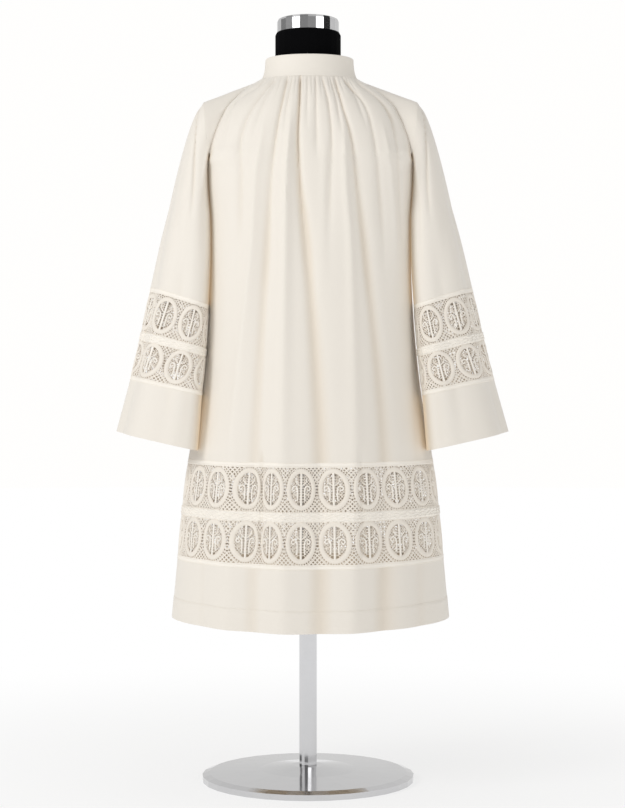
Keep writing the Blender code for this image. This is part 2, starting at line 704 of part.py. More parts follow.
def main():
    clear_scene()
    cloth = make_material("ivory_cloth", (0.87, 0.82, 0.74), 0.62)
    collar_cloth = make_material("collar_cloth", (0.86, 0.81, 0.72), 0.6)
    lace_thread = make_material("lace_thread", (0.84, 0.79, 0.70), 0.75)
    cover = make_material("black_jersey", (0.008, 0.008, 0.009), 0.85)
    chrome = make_material("chrome", (0.62, 0.62, 0.63), 0.12, 1.0)

    panel("back", -90.0, 90.0, BACK_GATHERS, cloth)
    panel("front_right", 90.0, 180.0, FRONT_GATHERS, cloth)
    panel("front_left", -180.0, -90.0, FRONT_GATHERS, cloth)
    collar("collar", collar_cloth)
    hem_band("hem_back", -90.0, 90.0, cloth)
    hem_band("hem_front", 90.0, 270.0, cloth)
    lace("lace_back", 0, BODY_REPEATS_BEHIND, body_lace_place, lace_thread)
    lace("lace_front", BODY_REPEATS_BEHIND, BODY_REPEATS, body_lace_place, lace_thread)
    for word, side in (("left", -1), ("right", 1)):
        yoke(f"yoke_{word}", side, cloth)
        upper = (0.0, 0.3, 0.6, 1.0, 1.6, 2.3, SLEEVE_LACE_TOP)
        sleeve_tube(f"sleeve_{word}", side, upper, CLOTH, cloth, SEAM, SEAM / 2.0)
        lower = (SLEEVE_LACE_BOTTOM, 5.5, SLEEVE_END)
        sleeve_tube(f"cuff_{word}", side, lower, CLOTH, cloth, SEAM / 2.0, 0.0)
        place = sleeve_lace_place(side)
        lace(f"sleeve_lace_{word}_back", 0, SLEEVE_REPEATS_BEHIND, place, lace_thread)
        lace(f"sleeve_lace_{word}_front", SLEEVE_REPEATS_BEHIND, SLEEVE_REPEATS, place, lace_thread)
    dress_form(cover, chrome)


main()
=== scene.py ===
# %% [markdown]
# # A gathered surplice with lace bands, on a dress form
# A surplice is the wide ivory over-garment of a choir or an altar server. This lesson dresses a plain
# rigid model of one: the model's solids say where each piece of cloth lies, and every cell below makes
# one piece or one finish as fine as the eye sees it. Lengths are metres, +Z is up and the garment's
# back faces -Y, towards the camera.

# %% Load the rigid model
import math
from collections import namedtuple

import bpy
import numpy as np
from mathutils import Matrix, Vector


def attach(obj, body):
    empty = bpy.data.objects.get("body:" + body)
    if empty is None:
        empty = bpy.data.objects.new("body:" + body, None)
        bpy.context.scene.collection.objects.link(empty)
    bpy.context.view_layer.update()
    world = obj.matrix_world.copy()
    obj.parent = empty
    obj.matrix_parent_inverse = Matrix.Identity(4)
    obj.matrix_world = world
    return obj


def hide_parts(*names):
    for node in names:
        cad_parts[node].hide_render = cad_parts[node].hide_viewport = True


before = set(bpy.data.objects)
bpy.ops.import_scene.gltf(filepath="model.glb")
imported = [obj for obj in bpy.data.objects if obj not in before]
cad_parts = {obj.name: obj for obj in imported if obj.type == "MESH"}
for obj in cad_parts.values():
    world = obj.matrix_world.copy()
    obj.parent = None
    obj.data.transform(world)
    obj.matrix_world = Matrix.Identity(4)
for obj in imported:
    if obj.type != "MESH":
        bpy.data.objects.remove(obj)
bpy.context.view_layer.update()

# %% [markdown]
# ## The camera
# The picture was taken straight at the back from about hip height, with a lens long enough that the
# hem and the collar keep their true proportions. The scale is 1.8 mm a pixel at the form's axis, so
# the camera's distance and the picture's height give the lens.

# %% Camera
PHOTO_TALL = 808
MM_A_PIXEL = 1.8
CAMERA = Vector((0.008, -3.400, 0.675))
SENSOR = 36.0

view = bpy.data.cameras.new("camera")
view.sensor_width = SENSOR
view.lens = SENSOR * -CAMERA.y / (PHOTO_TALL * MM_A_PIXEL / 1000.0)


def put(name, data):
    """A new object in the scene."""
    thing = bpy.data.objects.new(name, data)
    bpy.context.scene.collection.objects.link(thing)
    return thing


camera = put("camera", view)
camera.location = CAMERA
camera.rotation_euler = (math.radians(90.0), 0.0, 0.0)
bpy.context.scene.camera = camera
print("lens", round(view.lens, 1), "mm")

# %% [markdown]
# ## A short way to write nodes
# Materials and Geometry Nodes are both trees of nodes. One class adds a node from its type, its
# settings and the values of its sockets, and another wraps an output so that `1.0 - mask * 0.5`
# adds the Math nodes by itself.

# %% Node helpers
class Wire:
    """An output socket that Python's operators can be used on."""

    def __init__(self, nodes, socket):
        self.nodes = nodes
        self.socket = socket

    def math(self, operation, *values):
        inputs = dict(enumerate((self,) + values))
        return self.nodes.add("ShaderNodeMath", {"operation": operation}, inputs)[0]

    def __add__(self, other):
        return self.math("ADD", other)

    def __mul__(self, other):
        return self.math("MULTIPLY", other)

    def __sub__(self, other):
        return self.math("SUBTRACT", other)

    def __rsub__(self, other):
        return (self * -1.0).math("ADD", other)

    def __truediv__(self, other):
        return self.math("DIVIDE", other)

    __radd__ = __add__
    __rmul__ = __mul__


class Outputs:
    """The outputs of one node, by name or by number."""

    def __init__(self, nodes, node):
        self.nodes = nodes
        self.node = node

    def __getitem__(self, key):
        return Wire(self.nodes, self.node.outputs[key])


class Nodes:
    """Adds nodes to one tree."""

    def __init__(self, tree):
        self.tree = tree

    def add(self, kind, settings=None, inputs=None):
        node = self.tree.nodes.new(kind)
        for key, value in (settings or {}).items():
            if key == "stops":
                ramp = node.color_ramp
                for place, _ in value[2:]:
                    ramp.elements.new(place)
                for stop, (place, shade) in zip(ramp.elements, sorted(value)):
                    stop.position = place
                    stop.color = (shade, shade, shade, 1.0)
            else:
                setattr(node, key, value)
        self.fill(node, inputs or {})
        return Outputs(self, node)

    def fill(self, node, inputs):
        for key, value in inputs.items():
            if isinstance(value, Wire):
                self.tree.links.new(value.socket, node.inputs[key])
            else:
                node.inputs[key].default_value = value

    def noise(self, scale, detail=3.0):
        spot = self.add("ShaderNodeTexCoord")["Object"]
        return self.add("ShaderNodeTexNoise", inputs={"Vector": spot, "Scale": scale, "Detail": detail})[0]

    def bump(self, height, distance, strength):
        inputs = {"Height": height, "Distance": distance, "Strength": strength}
        return self.add("ShaderNodeBump", inputs=inputs)[0]

    def blend(self, share, first, second):
        """A colour between two colours."""
        ends = [(*c, 1.0) if isinstance(c, tuple) and len(c) == 3 else c for c in (first, second)]
        inputs = {0: share, 6: ends[0], 7: ends[1]}
        return self.add("ShaderNodeMix", {"data_type": "RGBA"}, inputs)[2]


# %% [markdown]
# ## Soft curves through a short table
# A pattern cutter writes down a few widths at a few heights and lets a flexible curve join them. The
# tables below are read the same way: a smooth curve runs through the rows of each column, and the
# function takes whole arrays, so that a fine grid costs one call.

# %% Reading a table
def smooth(x):
    x = np.clip(x, 0.0, 1.0)
    return x * x * (3.0 - 2.0 * x)


def curve(marks, column, at):
    """A smooth curve through the values of one column, at places between its marks."""
    i = np.clip(np.searchsorted(marks, at, side="right") - 1, 0, len(marks) - 2)
    step = np.diff(marks)
    t = (at - marks[i]) / step[i]
    rise = np.diff(column) / step
    slope = np.concatenate((rise[:1], (column[2:] - column[:-2]) / (marks[2:] - marks[:-2]), rise[-1:]))
    bend = slope[i] * (1 - t) ** 2 + rise[i] * (3 * t - 2 * t * t) + slope[i + 1] * (t * t - t)
    return column[i] + t * step[i] * bend


def rising(marks, at):
    """The marks in rising order, and the places kept between the first and the last of them."""
    marks, at = np.asarray(marks, float), np.asarray(at, float)
    if marks[0] > marks[-1]:
        marks, at = -marks, -at
    return marks, np.clip(at, marks[0], marks[-1])


def along(table, at, by_first=True):
    """The rows' values at places of the first column, or at row numbers."""
    columns = np.array(table, float).T
    marks, at = rising(columns[0] if by_first else np.arange(len(table)), at)
    return type(table[0])(*(curve(marks, column, at) for column in columns))


def paired(a, b):
    """Two values as arrays of one shape."""
    return np.broadcast_arrays(np.asarray(a, float), np.asarray(b, float))


def xyz(x, y, z):
    return np.stack(np.broadcast_arrays(x, y, z), axis=-1)


def unit(v):
    return v / np.maximum(np.linalg.norm(v, axis=-1, keepdims=True), 1e-12)


def wrapped(angle):
    """An angle in degrees, brought between -180 and 180."""
    return (angle + 180.0) % 360.0 - 180.0


# %% [markdown]
# ## The body's surface
# One table gives the garment's sections from the collar seam to the hem, and a second one its long
# folds. They are the sizes of the rigid model, so the fine cloth lies where its solids lie. An angle
# of 0 is the centre back, 90 the right-hand side and 180 the centre front.

# %% Sizes of the body
UNDERARM = 1.0800
LACE_TOP = 0.5770
LACE_BOTTOM = 0.3990
HEM = 0.2940
HEM_DIP = 0.0105
DIP_FROM = 0.9000
GARMENT_X = 0.0045
COLLAR_X = -0.0020
SEAM = 0.0003

Section = namedtuple("Section", "level edge_x edge_y edge_z back_y front_y front_z turn")
SECTIONS = [Section(*row) for row in (
    (1.25, 0.0846, 0.004, 1.258, 0.076, 0.076, 1.232, 89),
    (1.235, 0.1115, 0.02, 1.24, 0.093, 0.092, 1.218, 74),
    (1.213, 0.1307, 0.035, 1.223, 0.107, 0.105, 1.198, 68),
    (1.19, 0.1468, 0.049, 1.204, 0.116, 0.114, 1.178, 66),
    (1.168, 0.1563, 0.057, 1.184, 0.1215, 0.119, 1.159, 68),
    (1.15, 0.165, 0.062, 1.163, 0.125, 0.123, 1.143, 70),
    (1.13, 0.1726, 0.065, 1.139, 0.128, 0.126, 1.125, 74),
    (1.11, 0.1768, 0.0655, 1.117, 0.13, 0.128, 1.107, 80),
    (1.095, 0.1828, 0.036, 1.105, 0.1312, 0.129, 1.093, 86),
    (UNDERARM, 0.185, 0.0, 1.0985, 0.1324, 0.13, 1.08, 90),
    (1.06, 0.1836, 0.0, 1.068, 0.1338, 0.1312, 1.06, 90),
    (1.0, 0.18, 0.0, 1.003, 0.1372, 0.1335, 1.0, 90),
    (0.92, 0.18, 0.0, 0.92, 0.1422, 0.138, 0.92, 90),
    (0.84, 0.184, 0.0, 0.84, 0.1475, 0.1435, 0.84, 90),
    (0.76, 0.191, 0.0, 0.76, 0.1535, 0.15, 0.76, 90),
    (0.68, 0.201, 0.0, 0.68, 0.1598, 0.157, 0.68, 90),
    (0.62, 0.212, 0.0, 0.62, 0.1645, 0.162, 0.62, 90),
    (LACE_TOP, 0.2195, 0.0, 0.577, 0.168, 0.166, 0.577, 90),
    (0.5, 0.2295, 0.0, 0.5, 0.1745, 0.173, 0.5, 90),
    (LACE_BOTTOM, 0.239, 0.0, 0.399, 0.1835, 0.182, 0.399, 90),
    (HEM, 0.2485, 0.0, 0.294, 0.1925, 0.191, 0.294, 90),
)]

Fold = namedtuple("Fold", "top hem depth width starts full")
FOLDS = [Fold(*row) for row in (
    (-8, -10, -0.0085, 4.0, 1.19, 1.06),
    (-1, -3, 0.005, 4.5, 1.17, 1.02),
    (6, 5, -0.004, 4.0, 1.15, 0.98),
    (14, 15, 0.0065, 4.5, 1.17, 1.04),
    (25, 28, -0.0085, 5.0, 1.19, 1.05),
    (35, 40, 0.005, 5.0, 1.15, 0.98),
    (46, 54, -0.006, 5.5, 1.12, 0.9),
    (-17, -19, 0.0055, 4.5, 1.16, 1.02),
    (-26, -29, -0.0075, 5.0, 1.18, 1.03),
    (-36, -41, 0.005, 5.0, 1.14, 0.96),
    (-46, -53, -0.0055, 5.5, 1.1, 0.88),
    (64, 70, 0.006, 6.5, 0.56, 0.44),
    (-65, -71, 0.0055, 6.5, 0.56, 0.44),
    (171, 169, -0.006, 5.0, 1.13, 0.98),
    (160, 157, 0.005, 5.0, 1.12, 0.96),
    (150, 146, -0.007, 5.5, 1.13, 0.97),
    (139, 133, 0.005, 5.5, 1.1, 0.92),
    (128, 121, -0.0055, 6.0, 1.08, 0.86),
    (-170, -168, -0.006, 5.0, 1.12, 0.97),
    (-159, -156, 0.0055, 5.0, 1.13, 0.98),
    (-148, -145, -0.0065, 5.5, 1.12, 0.95),
    (-138, -132, 0.005, 5.5, 1.09, 0.9),
    (-127, -120, -0.006, 6.0, 1.08, 0.87),
    (108, 109, 0.005, 6.5, 0.56, 0.44),
    (-108, -110, 0.0055, 6.5, 0.56, 0.44),
)]
FOLD_STRETCH = 1.5
SPREAD_FROM = 1.1500
CALM_FROM = 1.0000
CALM_UNTIL = 0.6000
CALM = 0.6500
HELD_WIDTH = 26.0
HELD_EDGE = 14.0

# %% [markdown]
# ## Gathers and creases
# At the collar seam the wide cloth is drawn up on a thread into narrow gathers. They run out like
# rays over the shoulder blades and then hang straight down, and each valley is as deep and as long
# as it happens to fall. So each one is a row here: its distance from the centre line at up to seven
# heights, its depth, its half width at the top and at its end, and the levels where it starts to
# fade and is gone. The front takes the same rows turned round. A valley is narrow and a ridge is
# broad, which the profile 1 / (1 + x * x) gives by itself.

# %% The gathers, in millimetres
HEIGHTS = (1.250, 1.195, 1.135, 1.065, 0.950, 0.600, 0.300)
Crease = namedtuple("Crease", "path depth width widens starts full fades ends")


def gather(path, depth, width, widens, fades, ends):
    return Crease(path, depth, width, widens, 1.256, 1.237, fades, ends)


GATHERS = [gather(*row) for row in (
    ((-16.0, -20.0, -22.5, -20.0, -10.0, 12.0, 14.0), 9.5, 2.4, 7.0, 1.05, 0.86),
    ((-37.7, -51.0, -61.0, -70.0, -77.0, -97.0, -101.0), 6.0, 2.6, 8.0, 1.05, 0.84),
    ((-58.0, -97.0, -122.0, -122.0, -126.0, -150.0), 4.6, 3.4, 11.0, 1.05, 0.86),
    ((-55.0, -82.0, -101.0), 3.4, 3.0, 6.0, 1.19, 1.12),
    ((22.0, 32.0, 37.2, 34.0, 32.0, 33.0), 4.8, 2.6, 9.0, 1.05, 0.88),
    ((44.6, 56.0, 71.8, 80.5, 94.0, 129.0, 127.0), 6.6, 2.6, 8.0, 1.05, 0.84),
    ((57.0, 94.0, 111.0, 119.0, 128.0, 138.0), 4.6, 2.8, 9.0, 1.05, 0.86),
    ((74.0, 128.0, 150.0, 156.0, 162.0), 4.4, 3.0, 8.0, 1.08, 0.93),
    ((11.6, 10.0, 11.0, 12.0), 4.2, 2.4, 6.0, 1.14, 1.09),
    ((-2.5, -5.5, -6.0), 2.8, 2.2, 4.0, 1.20, 1.14),
    ((-28.9, -40.9, -45.9), 3.6, 2.2, 4.0, 1.20, 1.13),
    ((36.3, 47.0, 56.3), 3.8, 2.2, 4.0, 1.19, 1.12),
    ((64.4, 84.4, 103.0), 3.4, 2.6, 6.0, 1.20, 1.13),
    ((-67.6, -133.0, -153.0, -158.0), 3.2, 3.0, 7.0, 1.18, 1.10),
    ((78.5, 126.0, 156.0, 160.0), 3.0, 3.0, 7.0, 1.18, 1.10),
)] + [gather((top, low), 1.9, 1.5, 2.6, 1.235, 1.200) for top, low in (
    (-75.0, -122.0), (-46.5, -66.0), (-33.0, -46.0), (-22.0, -31.0), (-9.3, -13.0), (4.6, 2.5),
    (19.0, 21.0), (32.0, 40.0), (41.5, 52.0), (51.5, 64.0), (60.0, 78.0), (68.0, 95.0))]

# The longer ones run to the hem; those with a negative depth stand out as soft ridges between them.
DRAPES = [Crease(*row) for row in (
    ((-29, -33, -37, -40.7, -42.4, -47, -45), -8.8, 6, 26, 1.215, 1.100, 0.200, 0.100),
    ((51, 54, 58, 59.7, 68.4, 76, 71), -6.6, 6, 24, 1.200, 1.090, 0.200, 0.100),
    ((-66, -75, -84, -94, -101, -136, -146), -5.0, 7, 24, 1.190, 1.090, 0.200, 0.100),
    ((68, 112, 130, 141, 150, 160), -3.0, 5, 12, 1.170, 1.120, 1.000, 0.860),
    ((20, 22, 24, 24, 22, 10), -2.6, 6, 14, 1.150, 1.080, 0.940, 0.800),
    ((-20, -20, -20, -14, -6, 17, 16), 8.8, 8, 24, 1.080, 0.900, 0.200, 0.100),
    ((-60, -60, -61, -70, -77, -97, -101), 6.8, 8, 22, 1.060, 0.880, 0.200, 0.100),
    ((72, 72, 72, 81, 95, 129, 127), 7.4, 8, 22, 1.060, 0.880, 0.200, 0.100),
    ((-84, -84, -84, -84, -84, -84, -88), 5.6, 3.4, 4.4, 0.610, 0.565, 0.430, 0.385),
    ((86, 86, 86, 86, 86, 86.5, 88), 4.6, 3.4, 4.4, 0.610, 0.565, 0.430, 0.385),
    ((-170, -170, -170, -172, -176, -186, -190), 3.0, 14, 18, 0.900, 0.700, 0.200, 0.100),
    ((170, 170, 170, 172, 176, 188, 194), 3.0, 14, 18, 0.900, 0.700, 0.200, 0.100),
)]
CREASES = GATHERS + DRAPES
RIDGE_LIFT = 0.0018
RIDGE_UNTIL = 0.9800
RIDGES_FROM = 1.2580
RIDGES_FULL = 1.2460
RIDGES_FADE = 1.2350
EDGE_CALM = 6.0
FRONT_SHARE = 0.85
FOLDS_BEHIND = 0.12
print(len(GATHERS), "gathers and", len(DRAPES), "longer creases")

# %% [markdown]
# ## Where a crease runs
# The centre of a crease is known in millimetres from the centre line, and a point of the body by its
# level and angle. Both are turned into an arc of the section, and the distance between them along
# the cloth is that arc times the section's own radius there.

# %% Creases and long folds
def arc_of(level, angle):
    """The signed arc of the section at an angle, in radians, and the section with it."""
    section = along(SECTIONS, level)
    angle = wrapped(angle)
    part = np.where(abs(angle) <= 90.0, abs(angle), 180.0 - abs(angle)) / 90.0
    return np.copysign(part, angle) * np.radians(section.turn), section


def crease_wave(level, angle):
    """How far the creases reach in (negative), with the swell of the cloth between them."""
    level, angle = paired(level, angle)
    arc, section = arc_of(level, angle)
    turn = np.radians(section.turn)
    behind = abs(wrapped(angle)) <= 90.0
    deep = np.where(behind, section.back_y, section.front_y) - section.edge_y
    wide = section.edge_x / np.sin(turn)
    radius = np.hypot(wide * np.cos(arc), deep / (1.0 - np.cos(turn)) * np.sin(arc))
    side = np.where(behind, 1.0, -1.0)
    total = np.zeros(level.shape)
    for crease in CREASES:
        marks, at = rising(HEIGHTS[:len(crease.path)], level)
        across = side * curve(marks, np.array(crease.path, float), at) / 1000.0
        centre = np.arcsin(np.clip(across / wide, -0.995, 0.995))
        down = smooth((crease.starts - level) / (crease.starts - crease.ends))
        width = (crease.width + (crease.widens - crease.width) * down) / 1000.0
        away = (arc - centre) * radius / width
        grown = smooth((crease.starts - level) / (crease.starts - crease.full))
        left = smooth((level - crease.ends) / (crease.fades - crease.ends))
        total -= crease.depth / 1000.0 * grown * left / (1.0 + away * away)
    lift = RIDGE_LIFT * smooth((RIDGES_FROM - level) / (RIDGES_FROM - RIDGES_FULL))
    lift = lift * (1.0 - smooth((RIDGES_FADE - level) / (RIDGES_FADE - RIDGE_UNTIL)))
    edge = np.minimum(abs(abs(wrapped(angle)) - 90.0), 180.0 - abs(wrapped(angle)))
    return (total + lift) * smooth(edge / EDGE_CALM) * np.where(behind, 1.0, FRONT_SHARE)


def fold_wave(level, angle):
    """How far the long folds of the rigid model stand out."""
    level, angle = paired(level, angle)
    share = along(SECTIONS, level).turn / 90.0
    turned = wrapped(angle)
    folded = np.copysign(180.0 - (180.0 - abs(turned)) * share, turned)
    arc = np.where(abs(turned) <= 90.0, turned * share, folded)
    fallen = smooth((SPREAD_FROM - level) / (SPREAD_FROM - HEM))
    total = np.zeros(level.shape)
    for fold in FOLDS:
        centre = fold.top + (fold.hem - fold.top) * fallen
        width = fold.width * (1.0 + (FOLD_STRETCH - 1.0) * fallen)
        grown = smooth((fold.starts - level) / (fold.starts - fold.full))
        total += fold.depth * grown * np.exp(-((wrapped(arc - centre) / width) ** 2))
    calm = 1.0 - CALM * smooth((CALM_FROM - level) / (CALM_FROM - CALM_UNTIL))
    held = 1.0 - smooth((abs(abs(turned) - 90.0) - HELD_WIDTH) / HELD_EDGE)
    free = smooth((LACE_TOP + 0.02 - level) / 0.06)
    return total * calm * (1.0 - held * (1.0 - free))


# %% [markdown]
# ## Points of the body
# `body_base` is the smooth shape, `body_point` adds the folds and the creases. The direction that goes
# through the cloth is worked out once, so that the outer face, the inner face and the thread that
# lies on them all agree. Under the arms the panel hangs straight down from the armhole seam, so the
# section is squarer there than an ellipse. Behind, the rigid model's folds are toned down, because
# the listed ones lie there.

# %% Body points
# a crease this deep takes its full painted shade
VALLEY_DEPTH = 0.0060
SQUARE = 0.38
SQUARE_FROM = 1.1250
SQUARE_UNTIL = 1.0000
NECK_RISE = 0.0038
NECK_RISE_FROM = 1.1900
# painted shade by the sleeve: how far it reaches from the side, in degrees, and how strong it is
CREVICE_DEGREES = 14.0
CREVICE_PAINTED_SHADE = 2.4


def roundness(level):
    """The power that an ellipse's depth is raised to: 1 is plain, less is squarer."""
    squared = smooth((SQUARE_FROM - level) / 0.045) * (1.0 - smooth((SQUARE_UNTIL - level) / 0.42))
    return 1.0 - SQUARE * squared


def body_base(level, angle):
    level, angle = paired(level, angle)
    section = along(SECTIONS, level)
    angle = np.where(abs(angle) == 180.0, angle, wrapped(angle))
    behind = abs(angle) <= 90.0
    part = np.where(behind, abs(angle), 180.0 - abs(angle)) / 90.0
    turn = np.radians(section.turn)
    side = np.sin(part * turn) / np.sin(turn)
    centre = np.maximum((np.cos(part * turn) - np.cos(turn)) / (1.0 - np.cos(turn)), 0.0)
    full = centre ** roundness(level)
    dip = HEM_DIP * (np.maximum(DIP_FROM - level, 0.0) / (DIP_FROM - HEM)) ** 2
    x = np.copysign(section.edge_x * side, angle)
    deep = np.where(behind, section.back_y, section.front_y)
    y = np.where(behind, -1.0, 1.0) * (section.edge_y + (deep - section.edge_y) * full)
    rise = NECK_RISE * smooth((level - NECK_RISE_FROM) / 0.06)
    middle = np.where(behind, level + rise, section.front_z) - dip
    z = section.edge_z + (middle - section.edge_z) * centre * centre
    return xyz(x + COLLAR_X * smooth((level - 1.20) / 0.05), y, z)


def inward(p, level):
    deep = smooth((SECTIONS[0].level - level) / 0.03)
    below = 0.9 * deep * np.maximum(p[..., 2] - 1.11, 0.0)
    return unit(xyz(-0.55 * p[..., 0], -p[..., 1], -below))


def body_point(level, angle):
    """A point of the body's outer face, the direction through the cloth, and its painted shade: the depth of
    its valley, or more in the crevice by the sleeve.
    """
    p = body_base(level, angle)
    through = inward(p, level)
    creased = crease_wave(level, angle)
    behind = abs(wrapped(angle)) <= 90.0
    wave = fold_wave(level, angle) * np.where(behind, FOLDS_BEHIND, 1.0) + creased
    # painted shade in the crevice beside the sleeve, strong enough to take the painted glow too
    side = abs(abs(wrapped(angle)) - 90.0) / CREVICE_DEGREES
    crevice = (1.0 - smooth(side)) * smooth((1.13 - level) / 0.04) * smooth((level - LACE_TOP) / 0.05)
    # painted shade in the valleys of the creases
    valley = np.clip(-creased / VALLEY_DEPTH - 0.3, 0.0, 1.0)
    return p - through * wave[..., None], through, np.maximum(valley, crevice * CREVICE_PAINTED_SHADE)


print("half width at the hem:", round(float(body_base(HEM, 90.0)[0]), 4))

# %% [markdown]
# ## Cloth as a thin wall
# Real cloth has a face and a back that are joined round the edge. Each panel is worked out as rows of
# points; the wall takes the same rows a little further in for its back, and closes the rim. Where the
# cloth needs fewer points lower down, a row may have half as many as the row above it. Each corner
# also gets a UV place in metres of cloth, for the weave, and each point a painted shade value: the
# depth of its valley on the face, more in the crevice by the sleeve, and a fixed one on the back.

# %% The wall maker
CLOTH = 0.0012
# a fixed painted shade for the cloth's inner face
INSIDE_PAINTED_SHADE = -2.2
pieces = {}


def link_mesh(name, points, faces, material, smooth_angle=50.0):
    mesh = bpy.data.meshes.new(name)
    mesh.from_pydata(np.asarray(points), [], faces)
    mesh.materials.append(material)
    mesh.shade_smooth()
    mesh.set_sharp_from_angle(angle=math.radians(smooth_angle))
    pieces[name] = put(name, mesh)
    return pieces[name]


def volume(points, faces):
    """Six times the volume inside, negative where the faces point inwards."""
    total = 0.0
    for size in {len(face) for face in faces}:
        corners = points[np.array([face for face in faces if len(face) == size])]
        for k in range(1, size - 1):
            total += np.einsum("ij,ij->i", corners[:, 0], np.cross(corners[:, k], corners[:, k + 1])).sum()
    return total


def strip_faces(upper, lower):
    """Corners between two rows, where the lower row may have half the steps."""
    if len(upper) == len(lower):
        return list(zip(upper, lower, lower[1:], upper[1:]))
    faces = []
    for i in range(len(lower) - 1):
        a, b, c = upper[2 * i : 2 * i + 3]
        faces += [(a, lower[i], b), (b, lower[i], lower[i + 1]), (b, lower[i + 1], c)]
    return faces


def make_wall(name, rows, material, thickness=CLOTH, closed=False):
    """rows are (points, through, painted shade, width in metres) from the top down; closed joins their ends.
    """
    starts = np.cumsum([0] + [len(row[0]) for row in rows])
    outer = np.concatenate([row[0] for row in rows])
    through = np.concatenate([row[1] for row in rows])
    valley = np.concatenate([row[2] for row in rows])
    corners = []
    down = 0.0
    for number, (points, _, _, width) in enumerate(rows):
        if number:
            last = rows[number - 1][0]
            down += float(np.linalg.norm(points[0] - last[0]))
        count = len(points) + 1 if closed else len(points)
        share = np.linspace(0.0, width, count)
        row = [(int(starts[number] + i % len(points)), (float(share[i]), -down)) for i in range(count)]
        corners.append(row)
    placed = [face for pair in zip(corners, corners[1:]) for face in strip_faces(*pair)]
    faces = [tuple(corner[0] for corner in face) for face in placed]
    places = [[corner[1] for corner in face] for face in placed]
    count = len(outer)
    edges = {(f[i - 1], f[i]) for f in faces for i in range(len(f))}
    rim = [(b, a, a + count, b + count) for a, b in edges if (b, a) not in edges]
    where = {a: place for face, spots in zip(faces, places) for a, place in zip(face, spots)}
    rim.sort()
    points = np.concatenate((outer, outer + through * thickness))
    every = faces + [tuple(i + count for i in reversed(face)) for face in faces] + rim
    spots = places + [list(reversed(spot)) for spot in places]
    spots += [[where[i % count] for i in face] for face in rim]
    if volume(points, every) < 0.0:
        every = [tuple(reversed(face)) for face in every]
        spots = [list(reversed(spot)) for spot in spots]
    piece = link_mesh(name, points + np.array((GARMENT_X, 0.0, 0.0)), every, material)
    uv = piece.data.uv_layers.new(name="cloth")
    uv.data.foreach_set("uv", np.array([place for spot in spots for place in spot], float).ravel())
    painted_shade_layer = piece.data.attributes.new("valley", "FLOAT", "POINT")
    # the face takes its painted shade values, the inner face a fixed darker painted shade
    painted_shade_layer.data.foreach_set("value", np.concatenate((valley, np.full(count, INSIDE_PAINTED_SHADE))))
    return piece


def run_length(points):
    return float(np.linalg.norm(np.diff(points, axis=0), axis=1).sum())


def describe(piece):
    """Prints a piece's size and returns the area of one face of its cloth."""
    mesh = piece.data
    mesh.calc_loop_triangles()
    area = sum(triangle.area for triangle in mesh.loop_triangles) / 2.0
    print(piece.name, len(mesh.loop_triangles), "triangles,", round(area, 4), "square metres of cloth")
    return area


# %% [markdown]
# ## Ivory cloth
# The garment is a soft satin-faced cotton blend. Seen close it is a very fine weave; seen from a step
# away it has a low sheen. The valleys between folds take a painted shade of warm tan, which stands for
# light crossing the ivory cloth several times there. The weave is a bump from two sets of fine waves on
# the cloth's own UV, the tan is laid on by the painted shade values, and a broad, faint mottle keeps
# it from looking like plastic. Where the sleeve lies against the body the value passes 1, and a painted
# glow of warm light stands for what shines through the thin cloth there.

# %% Ivory cloth
def new_material(name):
    material = bpy.data.materials.new(name)
    material.use_nodes = True
    nodes = Nodes(material.node_tree)
    return material, nodes, material.node_tree.nodes["Principled BSDF"]


def times(colour, shares):
    return tuple(c * k for c, k in zip(colour, shares))


def thread_wave(nodes, across, turns):
    """A rounded wave, 0 to 1, with so many turns in a metre."""
    return (across * (2.0 * math.pi * turns)).math("SINE") * 0.5 + 0.5


def woven(name, light, painted_shade_colour, threads, relief, roughness, sheen):
    material, nodes, shader = new_material(name)
    place = nodes.add("ShaderNodeUVMap", {"uv_map": "cloth"})["UV"]
    split = nodes.add("ShaderNodeSeparateXYZ", inputs={0: place})
    warp = thread_wave(nodes, split["X"], threads)
    weft = thread_wave(nodes, split["Y"], threads * 0.8)
    mottle = nodes.noise(9.0)
    slub = nodes.noise(240.0, 4.0)
    # painted shade: the cloth is tinted towards tan by its painted shade values
    valley = nodes.add("ShaderNodeAttribute", {"attribute_name": "valley"})["Fac"]
    shade = nodes.blend(valley.math("ABSOLUTE") * 0.30, light, painted_shade_colour)
    # painted glow: a warm emission where the painted shade passes 1, by the sleeve
    through = nodes.blend((valley - 1.0) * 0.7, (0.0, 0.0, 0.0), times(painted_shade_colour, (PAINTED_GLOW_SHARE,) * 3))
    shade = nodes.blend(mottle * 0.05, shade, times(light, (0.92, 0.89, 0.84)))
    bump = nodes.bump(warp * weft * 0.6 + slub * 0.5, relief, 0.5)
    nodes.fill(shader, {"Base Color": shade, "Roughness": mottle * 0.14 + roughness, "Normal": bump,
                        "Emission Color": through, "Emission Strength": 1.0, "Sheen Weight": sheen,
                        "Sheen Roughness": 0.45, "Specular IOR Level": 0.35})
    return material


IVORY = (0.840, 0.792, 0.718)
# painted shade colour, for the valleys, the crevice by the sleeve and the inner face
PAINTED_SHADE_TAN = (0.620, 0.480, 0.310)
# the share of the painted shade colour that glows there as painted glow
PAINTED_GLOW_SHARE = 0.36
ivory_cloth = woven("ivory_cloth", IVORY, PAINTED_SHADE_TAN, 1900.0, 0.00012, 0.52, 0.22)
collar_cloth = woven("collar_cloth", IVORY, PAINTED_SHADE_TAN, 1900.0, 0.00010, 0.55, 0.18)
print("cloth colours:", IVORY, PAINTED_SHADE_TAN)

# %% [markdown]
# ## The back and the two fronts
# These are the widest panels, drawn up into the collar seam. The grid is fine over the gathers and
# half as fine below, where only broad folds are left.

# %% Body panels
YOKE_TOP = SECTIONS[0].level
FINE_UNTIL = 1.1100
NECK_EASE = 0.0007


